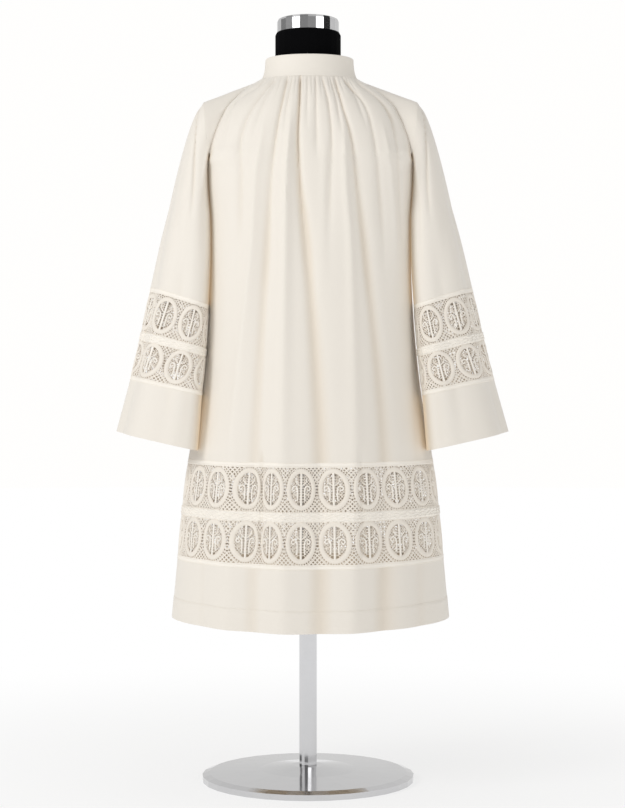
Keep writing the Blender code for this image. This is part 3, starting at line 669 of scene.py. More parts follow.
def body_row(level, start, end, count, lift=0.0, out=0.0):
    angle = start + (end - start) * np.linspace(0.0, 1.0, count + 1)
    points, through, valley = body_point(level, angle)
    points = points - through * out
    points[:, 2] += lift
    return points, through, valley, run_length(points)


def body_panel(name, start, end, fine):
    levels = np.concatenate((
        YOKE_TOP - 0.012 * np.linspace(0.0, 1.0, 9) ** 1.3,
        np.linspace(1.2360, FINE_UNTIL, 30),
        np.linspace(FINE_UNTIL - 0.006, LACE_TOP, 72),
    ))
    rows = []
    for level in levels:
        lift = -NECK_EASE if level == levels[0] else SEAM / 2.0 if level == levels[-1] else 0.0
        count = fine if level >= FINE_UNTIL - 1e-9 else fine // 2
        rows.append(body_row(level, start, end, count, lift))
    return make_wall(name, rows, ivory_cloth)


describe(body_panel("back_panel", -90.0, 90.0, 300))
describe(body_panel("front_panel_right", 90.0, 180.0, 150))
describe(body_panel("front_panel_left", -180.0, -90.0, 150))

# %% [markdown]
# ## The armholes, yokes and sleeves
# The armhole seam is a closed curve round the shoulder. The plain yoke fills the space between it and
# the curved seam of the gathered body. The sleeve starts on the same curve and falls in slanted
# rings to its cuff.

# %% Sizes of the arms
Armhole = namedtuple("Armhole", "turn x y z")
ARMHOLE = [Armhole(*row) for row in (
    (0, 0.189, 0.0, 1.219),
    (30, 0.189, 0.036, 1.211),
    (60, 0.187, 0.058, 1.188),
    (90, 0.1845, 0.0665, 1.16),
    (115, 0.1815, 0.068, 1.134),
    (900 / 7, 0.18, 0.0672, 1.119),
    (1080 / 7, 0.1828, 0.036, 1.105),
    (180, 0.185, 0.0, 1.0985),
)]
ARM_CENTRE = np.array((0.2250, 0.0000, 1.1300))
CAP_OUT = 0.0260
CAP_DOWN = 0.0120
SLEEVE_CLEAR = 0.0002
SLEEVE_ROUND = 0.0012
UNDERARM_GAP = 0.0002
CUFF_SPREAD = 0.0035
SLEEVE_RADIUS = 0.0650
YOKE_LEVELS = (1.2500, 1.2380, 1.2200, 1.1900, 1.1500, 1.1100)
YOKE_STEPS = 10
YOKE_ROWS = 81
RING_POINTS = 28

Ring = namedtuple("Ring", "outer_x outer_z inner_x inner_z half_depth behind skew")
SLEEVE = [Ring(*row) for row in (
    (0.255, 1.03, 0.175, 1.008, 0.074, 0.01, 0.025),
    (0.272, 0.966, 0.1755, 0.94, 0.071, 0.014, 0.028),
    (0.2905, 0.885, 0.181, 0.85, 0.068, 0.02, 0.031),
    (0.309, 0.8, 0.1865, 0.768, 0.065, 0.024, 0.033),
    (0.3285, 0.719, 0.194, 0.69, 0.062, 0.028, 0.035),
    (0.3535, 0.626, 0.201, 0.593, 0.064, 0.03, 0.035),
)]
SLEEVE_LACE_TOP = 3.0
SLEEVE_LACE_BOTTOM = 5.0
SLEEVE_END = 6.0

SleeveFold = namedtuple("SleeveFold", "turn depth width full")
SLEEVE_FOLDS = [SleeveFold(*row) for row in (
    (28, -0.005, 13, 0.5),
    (60, 0.0035, 15, 1.5),
    (100, -0.004, 17, 2.5),
    (142, 0.003, 15, 2.5),
    (215, -0.003, 15, 2.0),
    (262, 0.004, 18, 2.0),
    (320, -0.0045, 15, 0.8),
)]

# %% [markdown]
# ## Creases in the sleeves
# The sleeve's head is eased into the armhole, which leaves one or two soft pleats just behind the
# shoulder, and the cloth breaks a little at the elbow. They are rows again, with their place down the
# sleeve counted in rings.

# %% Sleeve creases
DOWN_SLEEVE = (0.0, 0.2, 0.4, 0.7, 1.2, 3.0, 6.0)
SleeveCrease = namedtuple("SleeveCrease", "path depth width starts full fades ends")
SLEEVE_CREASES = [SleeveCrease(*row) for row in (
    ((4, 26, 72, 96, 100, 98, 96), 4.6, 7.0, 0.02, 0.14, 0.5, 1.5),
    ((60, 60, 58, 55, 64, 84, 88), 2.0, 10.0, 0.3, 0.8, 1.4, 3.0),
    ((120, 122, 124, 128, 132, 136, 138), 1.6, 9.0, 0.3, 0.8, 1.6, 2.8),
    ((80, 80, 80, 80, 84, 96, 104), 2.2, 14.0, 1.6, 3.0, 5.0, 6.6),
    ((30, 30, 30, 30, 32, 40, 46), 2.0, 12.0, 1.8, 3.0, 5.0, 6.6),
    ((140, 140, 140, 140, 138, 134, 130), 2.0, 11.0, 2.6, 4.0, 5.6, 6.8),
    ((-6, -30, -74, -94, -98, -96, -92), 4.0, 7.0, 0.02, 0.14, 0.5, 1.5),
    ((-120, -120, -118, -112, -108, -100, -96), 2.2, 10.0, 0.3, 0.9, 1.8, 3.4),
    ((-50, -50, -52, -54, -58, -66, -70), 2.4, 13.0, 1.4, 2.8, 5.0, 6.6),
)]


def sleeve_wave(station, turn):
    """How far the creases reach in, in metres."""
    depth = np.zeros(np.broadcast(station, turn).shape)
    marks, at = rising(DOWN_SLEEVE, station)
    for crease in SLEEVE_CREASES:
        away = wrapped(turn - curve(marks, np.array(crease.path, float), at)) / crease.width
        grown = smooth((station - crease.starts) / (crease.full - crease.starts))
        left = smooth((crease.ends - station) / (crease.ends - crease.fades))
        depth -= crease.depth / 1000.0 * grown * left / (1.0 + away * away)
    return depth


# %% [markdown]
# ## Points of the arms
# Each function takes a side of -1 (left) or +1 (right) and gives points and the direction through the
# cloth. On the sleeve a turn of 0 is the outer line, 90 the back and 180 the inside.

# %% Arm points
def mirrored(side, v):
    return v * np.array((side, 1.0, 1.0))


def armhole_point(side, turn):
    turn = np.asarray(turn, float) % 360.0
    short = np.minimum(turn, 360.0 - turn)
    row = along(ARMHOLE, short)
    p = xyz(row.x, np.where(turn <= 180.0, -row.y, row.y), row.z)
    top = (1.0 - smooth((short - 20.0) / 110.0))[..., None]
    through = unit(inward(p, row.z) * top + unit(ARM_CENTRE - p) * (1.0 - top))
    return mirrored(side, p), mirrored(side, through)


def body_half_width(y, z):
    section = along(SECTIONS, z)
    deep = np.where(y < 0.0, section.back_y, section.front_y)
    return section.edge_x * np.sqrt(np.maximum(1.0 - abs(y / deep) ** (2.0 / roundness(z)), 0.0))


def sleeve_ring(side, station, turn):
    ring = along(SLEEVE, station - 1.0, by_first=False)
    a = np.radians(turn)
    centre_x = (ring.outer_x + ring.inner_x) / 2.0 + side * CUFF_SPREAD * (station - 1.0) / (SLEEVE_END - 1.0)
    half = (ring.outer_x - ring.inner_x) / 2.0
    swell = np.ones(np.broadcast(station, turn).shape)
    for fold in SLEEVE_FOLDS:
        grown = 0.35 + 0.65 * smooth(station / (fold.full + 1.0))
        swell += fold.depth / SLEEVE_RADIUS * grown * np.exp(-((wrapped(turn - fold.turn) / fold.width) ** 2))
    out = np.cos(a)
    x = centre_x + half * out * swell
    y = -ring.behind - ring.half_depth * np.sin(a) * swell + ring.skew * out
    middle_z = (ring.outer_z + ring.inner_z) / 2.0
    tilt = (ring.outer_z - ring.inner_z) / (2.0 * half)
    wall = body_half_width(y, middle_z + tilt * (x - centre_x)) + SLEEVE_CLEAR
    x = (x + wall + np.hypot(x - wall, 2.0 * SLEEVE_ROUND)) / 2.0
    through = unit(xyz(centre_x - x, -ring.behind - y, 0.0))
    through[..., 2] = tilt * through[..., 0]
    return mirrored(side, xyz(x, y, middle_z + tilt * (x - centre_x))), mirrored(side, through)


def sleeve_point(side, station, turn):
    """A point of the sleeve from the armhole (0) to the cuff's edge (6), with its creases."""
    station, turn = paired(station, turn)
    low, through_low = sleeve_ring(side, np.maximum(station, 1.0), turn)
    start, through_start = armhole_point(side, turn)
    shoulder = (0.5 + 0.5 * np.cos(np.radians(turn)))[..., None]
    start = start + np.array((side * UNDERARM_GAP, 0.0, 0.0)) * (1.0 - shoulder)
    bulge = start + np.array((side * CAP_OUT, 0.0, -CAP_DOWN))
    control = (start + low) / 2.0 * (1.0 - shoulder) + bulge * shoulder
    t = np.clip(station, 0.0, 1.0)[..., None]
    p = start * (1 - t) ** 2 + control * 2 * t * (1 - t) + low * t * t
    share = smooth(t * 1.6)
    through = np.where(t < 1.0, unit(through_start * (1.0 - share) + through_low * share), through_low)
    wave = sleeve_wave(station, turn)
    spread = 45.0 + 25.0 * smooth(1.0 - station)
    # painted shade on the sleeve's inner side, where it lies against the body, with painted glow; below it,
    # painted shade in the valleys of the creases
    crevice = (1.0 - smooth(abs(turn % 360.0 - 180.0) / spread)) * smooth((6.6 - station) / 0.5)
    valley = np.clip(-wave / VALLEY_DEPTH - 0.3, 0.0, 1.0)
    return p - through * wave[..., None], through, np.maximum(valley, crevice * CREVICE_PAINTED_SHADE)


def yoke_point(side, across, step):
    """A point of a yoke, from the body's curved seam (0) to the armhole seam (1)."""
    step, across = paired(step, across)
    pair = np.minimum(abs(step) // 2, len(YOKE_LEVELS) - 2).astype(int)
    levels = np.array(YOKE_LEVELS)
    share = (abs(step) / 2.0 - pair)[..., None]
    behind = np.where(step >= 0.0, 90.0, 90.0001)
    upper, lower = (body_base(levels[pair + k], side * behind) for k in (0, 1))
    inner = upper * (1.0 - share) + lower * share
    level = levels[pair] + (levels[pair + 1] - levels[pair]) * share[..., 0]
    inner[..., 1] = np.where(step == 0.0, 0.0, inner[..., 1])
    outer, through_outer = armhole_point(side, step * 360.0 / RING_POINTS)
    through_inner = inward(inner, level)
    across = across[..., None]
    p = inner * (1.0 - across) + outer * across
    return p, unit(through_inner * (1.0 - across) + through_outer * across)


# %% [markdown]
# ## Sleeves, cuffs and yokes
# A sleeve is one closed tube of cloth from the armhole to the lace, and the cuff a second one below
# it. The yoke is a narrow panel over the shoulder. Where the sleeve is set in, both edges are drawn
# down by half a millimetre, which is all that a pressed armhole seam shows.

# %% Make them
SEAM_DRAW = 0.0006
SEAM_TUCK = 0.0018
SLEEVE_AROUND = 168


def tube(name, side, stations, top_gap, bottom_gap):
    """A closed tube of cloth down the arm, through rings at the given stations."""
    turns = 360.0 * np.arange(SLEEVE_AROUND) / SLEEVE_AROUND
    rows = []
    for station in stations:
        points, through, valley = sleeve_point(side, station, turns)
        if station == 0.0:
            points = points + through * 2.0 * SEAM_DRAW
            points[:, 0] -= side * SEAM_TUCK
        elif station == stations[0]:
            points[:, 2] -= top_gap
        if station == stations[-1]:
            points[:, 2] += bottom_gap
        rows.append((points, through, valley, run_length(points)))
    return make_wall(name, rows, ivory_cloth, closed=True)


def yoke(name, side):
    rows = []
    across = np.linspace(0.0, 1.0, 17)
    for step in np.linspace(-YOKE_STEPS, YOKE_STEPS, YOKE_ROWS):
        points, through = yoke_point(side, across, step)
        points[-1] += through[-1] * SEAM_DRAW
        points[0, 2] -= NECK_EASE * (abs(step) <= 1.0)
        rows.append((points, through, np.zeros(len(across)), run_length(points)))
    return make_wall(name, rows, ivory_cloth)


SIDES = (("left", -1), ("right", 1))
below_cap = np.linspace(1.0, SLEEVE_LACE_TOP, 33)[1:]
upper_stations = np.concatenate(((0.0, 0.015), np.linspace(0.04, 1.0, 26), below_cap))
cuff_stations = np.linspace(SLEEVE_LACE_BOTTOM, SLEEVE_END, 16)
for word, side in SIDES:
    describe(tube(f"sleeve_cloth_{word}", side, upper_stations, SEAM, SEAM / 2))
    describe(tube(f"cuff_cloth_{word}", side, cuff_stations, SEAM / 2, 0.0))
    describe(yoke(f"yoke_cloth_{word}", side))

# %% [markdown]
# ## The hem bands
# Below the lace the garment ends in a plain band with a turned hem. The doubled cloth stands out by
# its own thickness below the line of stitches that holds it.

# %% Hem bands
HEM_TURNED = 0.0370
HEM_STEP = 0.0007
HEM_STEPS = 180


def hem_band(name, start, end):
    stitched = HEM + HEM_TURNED
    single = np.linspace(LACE_BOTTOM, stitched + 0.002, 14)
    doubled = np.linspace(stitched - 0.002, HEM, 10)
    levels = np.concatenate((single, (stitched + 0.0006, stitched - 0.0006), doubled))
    rows = []
    for level in levels:
        out = HEM_STEP if level < stitched - 0.001 else 0.0
        lift = -SEAM / 2.0 if level == LACE_BOTTOM else 0.0
        rows.append(body_row(level, start, end, HEM_STEPS, lift, out))
    return make_wall(name, rows, ivory_cloth)


describe(hem_band("hem_cloth_back", -90.0, 90.0))
describe(hem_band("hem_cloth_front", 90.0, 270.0))

# %% [markdown]
# ## The collar
# A stand collar is a stiff straight band. It is cut from the same cloth over an interlining, so it is
# thicker than the rest and takes no creases, and it meets itself at the centre front. Its foot
# stands over the gathers, so no raw edge shows at the seam.

# %% Collar
Band = namedtuple("Band", "share half_width back front")
COLLAR = [Band(*row) for row in (
    (0.0, 0.0846, 0.076, 0.076),
    (0.5, 0.0805, 0.072, 0.0725),
    (1.0, 0.0792, 0.0705, 0.071),
)]
COLLAR_BEHIND = 0.0388
COLLAR_BESIDE = 0.0358
COLLAR_BEFORE = 0.0380
COLLAR_CLOTH = 0.0020
COLLAR_ROWS = ((-0.030, 0.0013), (-0.022, 0.0016), (0.03, 0.0014), (0.10, 0.0006), (0.20, 0.0002),
               (0.35, 0.0), (0.5, 0.0), (0.65, 0.0), (0.8, 0.0), (0.95, 0.0),
               (0.985, -0.0003), (1.0, -0.0008))


def collar_point(share, angle, out=0.0):
    band = along(COLLAR, share)
    a = np.radians(angle)
    deep = np.where(abs(angle) <= 90.0, band.back, band.front)
    middle = np.where(abs(angle) <= 90.0, COLLAR_BEHIND, COLLAR_BEFORE)
    tall = COLLAR_BESIDE + (middle - COLLAR_BESIDE) * np.cos(a) ** 2
    foot = body_base(YOKE_TOP, angle)[..., 2]
    p = xyz(band.half_width * np.sin(a) + COLLAR_X, -deep * np.cos(a), foot + SEAM / 2.0 + tall * share)
    through = unit(xyz(COLLAR_X - p[..., 0], -p[..., 1], 0.0))
    return p - through * out, through


def collar():
    angle = np.linspace(-179.9, 179.9, 241)
    rows = []
    for share, out in COLLAR_ROWS:
        points, through = collar_point(np.full(angle.shape, share), angle, out)
        rows.append((points, through, np.zeros(len(angle)), 0.50))
    return make_wall("collar_band", rows, collar_cloth, COLLAR_CLOTH)


describe(collar())

# %% [markdown]
# ## Lace, one repeat
# The lace is an embroidered band of ovals: each has a smooth padded ring, a stem with a scroll and a
# branch on each side, small square holes beside the stem, and a slanting net behind them. Rings
# stand in rows with a dotted line of holes round each, a coarser net in the corners and a plain
# puckered tape between the rows. The drawing is a plain one of scrolls and stems, as such laces have.
# It is made here flat, as threads in a cell of 60 by 178 mm. Across runs to the right, down runs from
# the band's top edge, and a painted light value says how bright each thread is painted, for the light it
# catches.

# %% Threads
CELL_WIDE = 0.060
CELL_TALL = 0.089
BROAD = ((-0.5, 0.0), (-0.36, 1.0), (0.0, 1.2), (0.36, 1.0), (0.5, 0.0))
FINE = ((-0.5, 0.0), (0.0, 1.0), (0.5, 0.0))
# painted shadow at the feet of each thread, between the threads; broad ribbons take a lighter one
FOOT_PAINTED_SHADE = -0.35
BROAD_FOOT_PAINTED_SHADE = 0.15
flat_points = []
flat_faces = []
flat_painted_light = []


def ribbon(line, width, height, tone, profile=FINE, loop=False, foot=None):
    """Adds a thread along a line of (across, down) points in millimetres of the cell."""
    line = np.array(line, float)
    ahead = np.roll(line, -1, axis=0) - np.roll(line, 1, axis=0)
    if not loop:
        ahead[0], ahead[-1] = line[1] - line[0], line[-1] - line[-2]
    ahead /= np.linalg.norm(ahead, axis=1)[:, None]
    beside = np.stack((-ahead[:, 1], ahead[:, 0]), axis=1)
    first = len(flat_points)
    if foot is None:
        foot = FOOT_PAINTED_SHADE if len(profile) == len(FINE) else BROAD_FOOT_PAINTED_SHADE
    for middle, side in zip(line, beside):
        for across, up in profile:
            spot = (middle + side * across * width) / 1000.0
            flat_points.append((spot[0], spot[1], up * height / 1000.0))
            # painted light on a thread's top, painted shadow at its feet
            flat_painted_light.append(tone if up > 0.0 else foot)
    size = len(profile)
    count = len(line)
    for i in range(count if loop else count - 1):
        a, b = first + i * size, first + (i + 1) % count * size
        for k in range(size):
            m = (k + 1) % size
            flat_faces.append((a + k, a + m, b + m, b + k))
    if not loop:
        flat_faces.append(tuple(first + k for k in reversed(range(size))))
        flat_faces.append(tuple(first + (count - 1) * size + k for k in range(size)))


def oval(centre, wide, tall, turns):
    """Points of an oval at turns in degrees."""
    return [(centre[0] + wide * math.cos(math.radians(a)), centre[1] + tall * math.sin(math.radians(a)))
            for a in turns]


# %% [markdown]
# ## Net
# The net is two sets of slanting threads. A thread is kept only where a test says that it is inside
# the shape, so one function fills both the oval and the corners. The threads' distance across divides
# the cell's width, so that the net runs on from cell to cell.

# %% Net
def net(centre, reach, keep, step, width, height, tone):
    """Slanting threads round a centre, out to reach, where keep(x, y) is true."""
    for slant in (-1.0, 1.0):
        for start in np.arange(-reach[0] - reach[1], reach[0] + reach[1] + step, step):
            run = []
            for x in np.arange(-reach[0], reach[0] + 1e-6, 0.5):
                y = slant * x + start
                if abs(y) <= reach[1] and keep(x, y):
                    run.append((centre[0] + x, centre[1] + y))
                    continue
                if len(run) > 3:
                    ribbon(run[:-1:12] + run[-1:], width, height, tone)
                run = []
            if len(run) > 3:
                ribbon(run[:-1:12] + run[-1:], width, height, tone)


# %% [markdown]
# ## The oval
# The ring is padded satin stitch, the widest and smoothest thing in the lace. The stem, the scrolls
# and the branches lie over the net and are painted brighter, a painted highlight for standing further out.

# %% Oval
RING_WIDE, RING_TALL, RING_BAND = 23.5, 30.9, 8.4
OUT_WIDE, OUT_TALL = 27.4, 34.8
EDGE_WIDE, EDGE_TALL = 30.5, 37.8
IN_WIDE, IN_TALL = 19.6, 27.0
HOLE_STEP = 4.6
SPOKES = 42
SCROLL = ((7.3, 19.5), (6.6, 14.0), (6.4, 8.0), (6.5, 2.5), (7.1, -1.8), (8.8, -4.6), (11.4, -5.8),
          (14.2, -5.3), (16.2, -3.2), (16.5, -0.4), (14.9, 1.7), (12.6, 1.6), (11.7, -0.2))
BRANCH = ((0.9, -5.2), (4.4, -8.4), (8.2, -11.0), (10.4, -14.4), (9.9, -19.2))
LEAF = ((6.5, 9.5), (10.0, 7.4), (13.4, 8.6), (14.4, 12.0))


def inside(x, y, wide, tall):
    return (x / wide) ** 2 + (y / tall) ** 2 < 1.0


def beside_stem(centre, line, width, height, tone, profile=FINE):
    for side in (-1.0, 1.0):
        ribbon([(centre[0] + side * x, centre[1] + y) for x, y in line], width, height, tone, profile)


def oval_motif(centre):
    ribbon(oval(centre, RING_WIDE, RING_TALL, np.arange(52) * 360.0 / 52), RING_BAND, 1.1, 0.5, BROAD, True)
    for low in (16.0, 196.0):
        ribbon(oval(centre, EDGE_WIDE, EDGE_TALL, np.linspace(low, low + 148.0, 25)), 1.6, 0.7, 0.9)
    for turn in (np.arange(SPOKES) + 0.5) * 360.0 / SPOKES:
        (x, y), = oval((0.0, 0.0), OUT_WIDE, OUT_TALL, (turn,))
        out = unit(np.array((x / OUT_WIDE ** 2, y / OUT_TALL ** 2))) * 3.4
        share = min(1.0, (30.0 - abs(x)) / max(abs(out[0]), 1e-6))
        start = np.array(centre) + (x, y)
        ribbon([start - out * 0.3, start + out * share], 2.5, 0.7, 1.0)
    ribbon([(centre[0], centre[1] + y) for y in np.linspace(-27.5, 27.5, 8)], 4.0, 1.25, 1.0, BROAD)
    beside_stem(centre, SCROLL, 2.9, 1.05, 1.0, BROAD)
    beside_stem(centre, BRANCH, 2.0, 0.9, 0.9, BROAD)
    beside_stem(centre, LEAF, 1.9, 0.85, 0.9)
    beside_stem(centre, ((5.8, -20.5), (5.7, -13.0), (5.6, -6.5)), 1.2, 0.55, 0.5)
    for rise in np.arange(-21.0, 23.5, HOLE_STEP):
        beside_stem(centre, ((1.6, rise), (6.0, rise)), 1.6, 0.6, 0.9)
    net(centre, (19.5, 27.0), lambda x, y: inside(x, y, IN_WIDE, IN_TALL) and abs(x) > 5.6,
        5.6, 1.35, 0.5, 0.8)


# %% [markdown]
# ## Corners, tape and edges
# The coarser net fills what the ovals leave, down to the tape. The tape is slightly too long for the
# lace, so it puckers. Plain strips with a cord on each side join the lace to the cloth.

# %% The whole repeat
ROWS = ((44.5, 6.0, 85.0), (133.5, 98.0, 172.0))
for middle, top, bottom in ROWS:
    oval_motif((30.0, middle))
    net((30.0, middle), (30.0, 39.0), lambda x, y: not inside(x, y, EDGE_WIDE, EDGE_TALL)
        and top < y + middle < bottom, 7.5, 2.7, 0.7, 1.0)
for middle, width in ((3.4, 9.2), (174.6, 9.2), (91.3, 16.5)):
    ribbon([(x, middle) for x in np.linspace(0.0, 60.0, 13)], width, 0.75, 1.0, BROAD, foot=1.0)
for down in (0.4, 5.6, 172.4, 177.6):
    ribbon([(x, down) for x in np.linspace(0.0, 60.0, 13)], 1.5, 1.3, 0.8)
for row, down in enumerate((86.6, 91.3, 96.0)):
    pucker = [(x, down + 1.5 * math.sin(2.0 * math.pi * (x / (15.0, 20.0, 12.0)[row] + row * 0.37)))
              for x in np.linspace(0.0, 60.0, 25)]
    ribbon(pucker, 3.2, 1.7, 1.0, BROAD, foot=0.7)
print("one lace repeat:", len(flat_points), "points,", len(flat_faces), "faces")

# %% [markdown]
# ## Lace thread
# The lace is matt cotton, painted a little greyer than the cloth where its threads lie low, for the light
# that passes between them. Each thread's painted light is read back from the mesh, and the feet of the
# threads take a painted shadow of dark brown. The seam thread is painted dark tan, a painted shadow line
# along the yoke seam.

# %% Lace thread
def thread_material(name, light, dim, relief):
    material, nodes, shader = new_material(name)
    fuzz = nodes.noise(900.0)
    cloud = nodes.noise(30.0, 2.0)
    tone = nodes.add("ShaderNodeAttribute", {"attribute_name": "tone"})["Fac"]
    # painted light and shade: each thread as bright as its painted light value
    shade = nodes.blend(tone, dim, light)
    shade = nodes.blend(fuzz * 0.20 + cloud * 0.10, shade, times(dim, (0.80, 0.76, 0.68)))
    # painted shadow between the threads: the feet turn dark brown
    shade = nodes.blend(tone * -2.0, shade, times(dim, (0.66, 0.56, 0.44)))
    nodes.fill(shader, {"Base Color": shade, "Roughness": fuzz * 0.15 + 0.7, "Sheen Weight": 0.15,
                        "Normal": nodes.bump(fuzz, relief, 0.6)})
    return material


lace_thread = thread_material("lace_thread", (0.975, 0.932, 0.862), (0.800, 0.730, 0.640), 0.0003)
# painted shadow: the seam thread's dark tan stands for the shadow line along the yoke seam
seam_shadow_thread = thread_material("seam_shadow_thread", (0.36, 0.25, 0.14), (0.36, 0.25, 0.14), 0.0002)
print("lace and seam threads are ready")

# %% [markdown]
# ## Laying the lace on the cloth's form
# A flat repeat has to be copied round the garment and bent onto it. Geometry Nodes do both: the
# repeat is instanced along a row, the instances are realized, and each point then looks up its
# place on a guide surface by that surface's UV. Across counts repeats and down counts metres of
# the repeat, so the same flat drawing serves the body and the sleeves.

# %% The wrapping tree
def new_tree(name, inputs):
    """A tree with named inputs, a way to add its nodes, and the node that gives its inputs."""
    tree = bpy.data.node_groups.new(name, "GeometryNodeTree")
    for label, kind, default in inputs:
        socket = tree.interface.new_socket(label, in_out="INPUT", socket_type="NodeSocket" + kind)
        if default is not None:
            socket.default_value = default
    tree.interface.new_socket("Geometry", in_out="OUTPUT", socket_type="NodeSocketGeometry")
    nodes = Nodes(tree)
    return tree, nodes, nodes.add("NodeGroupInput")


def finished(nodes, shape, material):
    done = nodes.add("GeometryNodeSetMaterial", inputs={"Geometry": shape, "Material": material})[0]
    nodes.add("NodeGroupOutput", inputs={0: done})


def copied(nodes, thing, placed):
    """Real copies of an object at points."""
    shape = nodes.add("GeometryNodeObjectInfo", inputs={"Object": thing})["Geometry"]
    copies = nodes.add("GeometryNodeInstanceOnPoints", inputs={"Instance": shape, **placed})[0]
    return nodes.add("GeometryNodeRealizeInstances", inputs={0: copies})[0]


def lace_tree():
    tree, nodes, given = new_tree("wrap_lace", (
        ("Guide", "Geometry", None), ("Repeat", "Object", None), ("Count", "Int", 12),
        ("Repeat width", "Float", CELL_WIDE), ("Repeat height", "Float", 2.0 * CELL_TALL),
        ("Sink", "Float", 0.0005), ("Material", "Material", None)))
    step = nodes.add("ShaderNodeCombineXYZ", inputs={0: given["Repeat width"]})[0]
    row = nodes.add("GeometryNodeMeshLine", inputs={"Count": given["Count"], "Offset": step})[0]
    real = copied(nodes, given["Repeat"], {"Points": row})
    spot = nodes.add("ShaderNodeSeparateXYZ", inputs={0: nodes.add("GeometryNodeInputPosition")[0]})
    across = spot["X"] / given["Repeat width"]
    down = spot["Y"] / given["Repeat height"]
    place = nodes.add("ShaderNodeCombineXYZ", inputs={0: across, 1: down})[0]
    band = nodes.add("GeometryNodeInputNamedAttribute", {"data_type": "FLOAT_VECTOR"}, {"Name": "cloth"})[0]
    found = []
    for what in ("GeometryNodeInputPosition", "GeometryNodeInputNormal"):
        inputs = {"Mesh": given["Guide"], "Value": nodes.add(what)[0], 2: band, 3: place}
        found.append(nodes.add("GeometryNodeSampleUVSurface", {"data_type": "FLOAT_VECTOR"}, inputs)[0])
    lift = spot["Z"] - given["Sink"]
    out = nodes.add("ShaderNodeVectorMath", {"operation": "SCALE"}, {0: found[1], "Scale": lift})[0]
    final = nodes.add("ShaderNodeVectorMath", {"operation": "ADD"}, {0: found[0], 1: out})[0]
    bent = nodes.add("GeometryNodeSetPosition", inputs={"Geometry": real, "Position": final})[0]
    finished(nodes, bent, given["Material"])
    return tree


def grown(name, tree, values, start):
    """Runs a tree on a start object and keeps the result as a plain mesh."""
    modifier = start.modifiers.new("nodes", "NODES")
    modifier.node_group = tree
    for item in tree.interface.items_tree:
        if item.in_out == "INPUT" and item.name in values:
            modifier[item.identifier] = values[item.name]
    start.update_tag()
    depsgraph = bpy.context.evaluated_depsgraph_get()
    mesh = bpy.data.meshes.new_from_object(start.evaluated_get(depsgraph), depsgraph=depsgraph)
    start.modifiers.remove(modifier)
    mesh.name = name
    mesh.calc_loop_triangles()
    corners = np.zeros(3 * len(mesh.loop_triangles), int)
    mesh.loop_triangles.foreach_get("vertices", corners)
    spots = np.zeros(3 * len(mesh.vertices))
    mesh.vertices.foreach_get("co", spots)
    a, b, c = spots.reshape(-1, 3)[corners.reshape(-1, 3)].transpose(1, 0, 2)
    if np.einsum("ij,ij->i", a, np.cross(b, c)).sum() < 0.0:
        mesh.flip_normals()
    pieces[name] = put(name, mesh)
    return pieces[name]


def drop(*objects):
    for thing in objects:
        bpy.data.objects.remove(thing)


# %% [markdown]
# ## The guide surfaces
# A guide is a plain grid over the place of the lace, with its UV counting repeats across and the
# whole band's height down. It is made from the same body and sleeve points as the cloth.

# %% Guides
BODY_REPEATS = 23
BODY_REPEATS_BEHIND = 12
SLEEVE_REPEATS = 7
SLEEVE_REPEATS_BEHIND = 4
SOFTEN = 0.2
FIRST_PLACED = 3.5
PLACED = (-0.1670, -0.1080, -0.0693, -0.0162, 0.0400, 0.1006, 0.1520, 0.2010)


def hoop():
    """Angles round the folded body at the lace's middle, and how far along the cloth each one lies."""
    angles = np.linspace(-180.0, 180.0, 2881)
    points = body_point((LACE_TOP + LACE_BOTTOM) / 2.0, angles)[0]
    return angles, np.concatenate(([0.0], np.cumsum(np.linalg.norm(np.diff(points, axis=0), axis=1))))


HOOP_ANGLES, HOOP_LENGTHS = hoop()
LACE_LONG = HOOP_LENGTHS[-1]
print("the lace goes", round(LACE_LONG, 3), "m round the folds")


def along_hoop(across):
    """Where a place in the lace comes on the hoop: by the listed ovals behind, evenly elsewhere."""
    half_wide = float(along(SECTIONS, (LACE_TOP + LACE_BOTTOM) / 2.0).edge_x)
    angles = np.degrees(np.arcsin(np.array(PLACED) / half_wide))
    lengths = np.interp(angles, HOOP_ANGLES, HOOP_LENGTHS)
    marks = FIRST_PLACED + np.arange(len(PLACED) + 1.0)
    marks[-1] = FIRST_PLACED + BODY_REPEATS
    lengths = np.append(lengths, lengths[0] + LACE_LONG)
    turns = np.floor((across - FIRST_PLACED) / BODY_REPEATS)
    return np.interp(across - turns * BODY_REPEATS, marks, lengths) + turns * LACE_LONG


def body_band(across, down):
    """The lace goes round the folds; a repeat that falls into a pleat looks narrow."""
    place = (along_hoop(across - SOFTEN) + along_hoop(across + SOFTEN)) / 2.0
    turns = np.floor(place / LACE_LONG)
    angle = np.interp(place - turns * LACE_LONG, HOOP_LENGTHS, HOOP_ANGLES) + 360.0 * turns
    level = LACE_TOP + (LACE_BOTTOM - LACE_TOP) * down
    points = body_point(level, angle)[0]
    points[..., 2] += SEAM * (down - 0.5)
    return points


SLEEVE_SLANT = {-1: (14.0, 26.0), 1: (15.0, 17.0)}


def sleeve_band(side):
    """The lace is sewn on square to the slanting sleeve, so its columns lean."""
    shift, slant = SLEEVE_SLANT[side]

    def band(across, down):
        turn = 90.0 + 360.0 * (across - SLEEVE_REPEATS_BEHIND / 2.0) / SLEEVE_REPEATS + shift - slant * down
        station = SLEEVE_LACE_TOP + (SLEEVE_LACE_BOTTOM - SLEEVE_LACE_TOP) * down
        points = sleeve_point(side, station, turn)[0]
        points[..., 2] += SEAM * (down - 0.5)
        return points

    return band


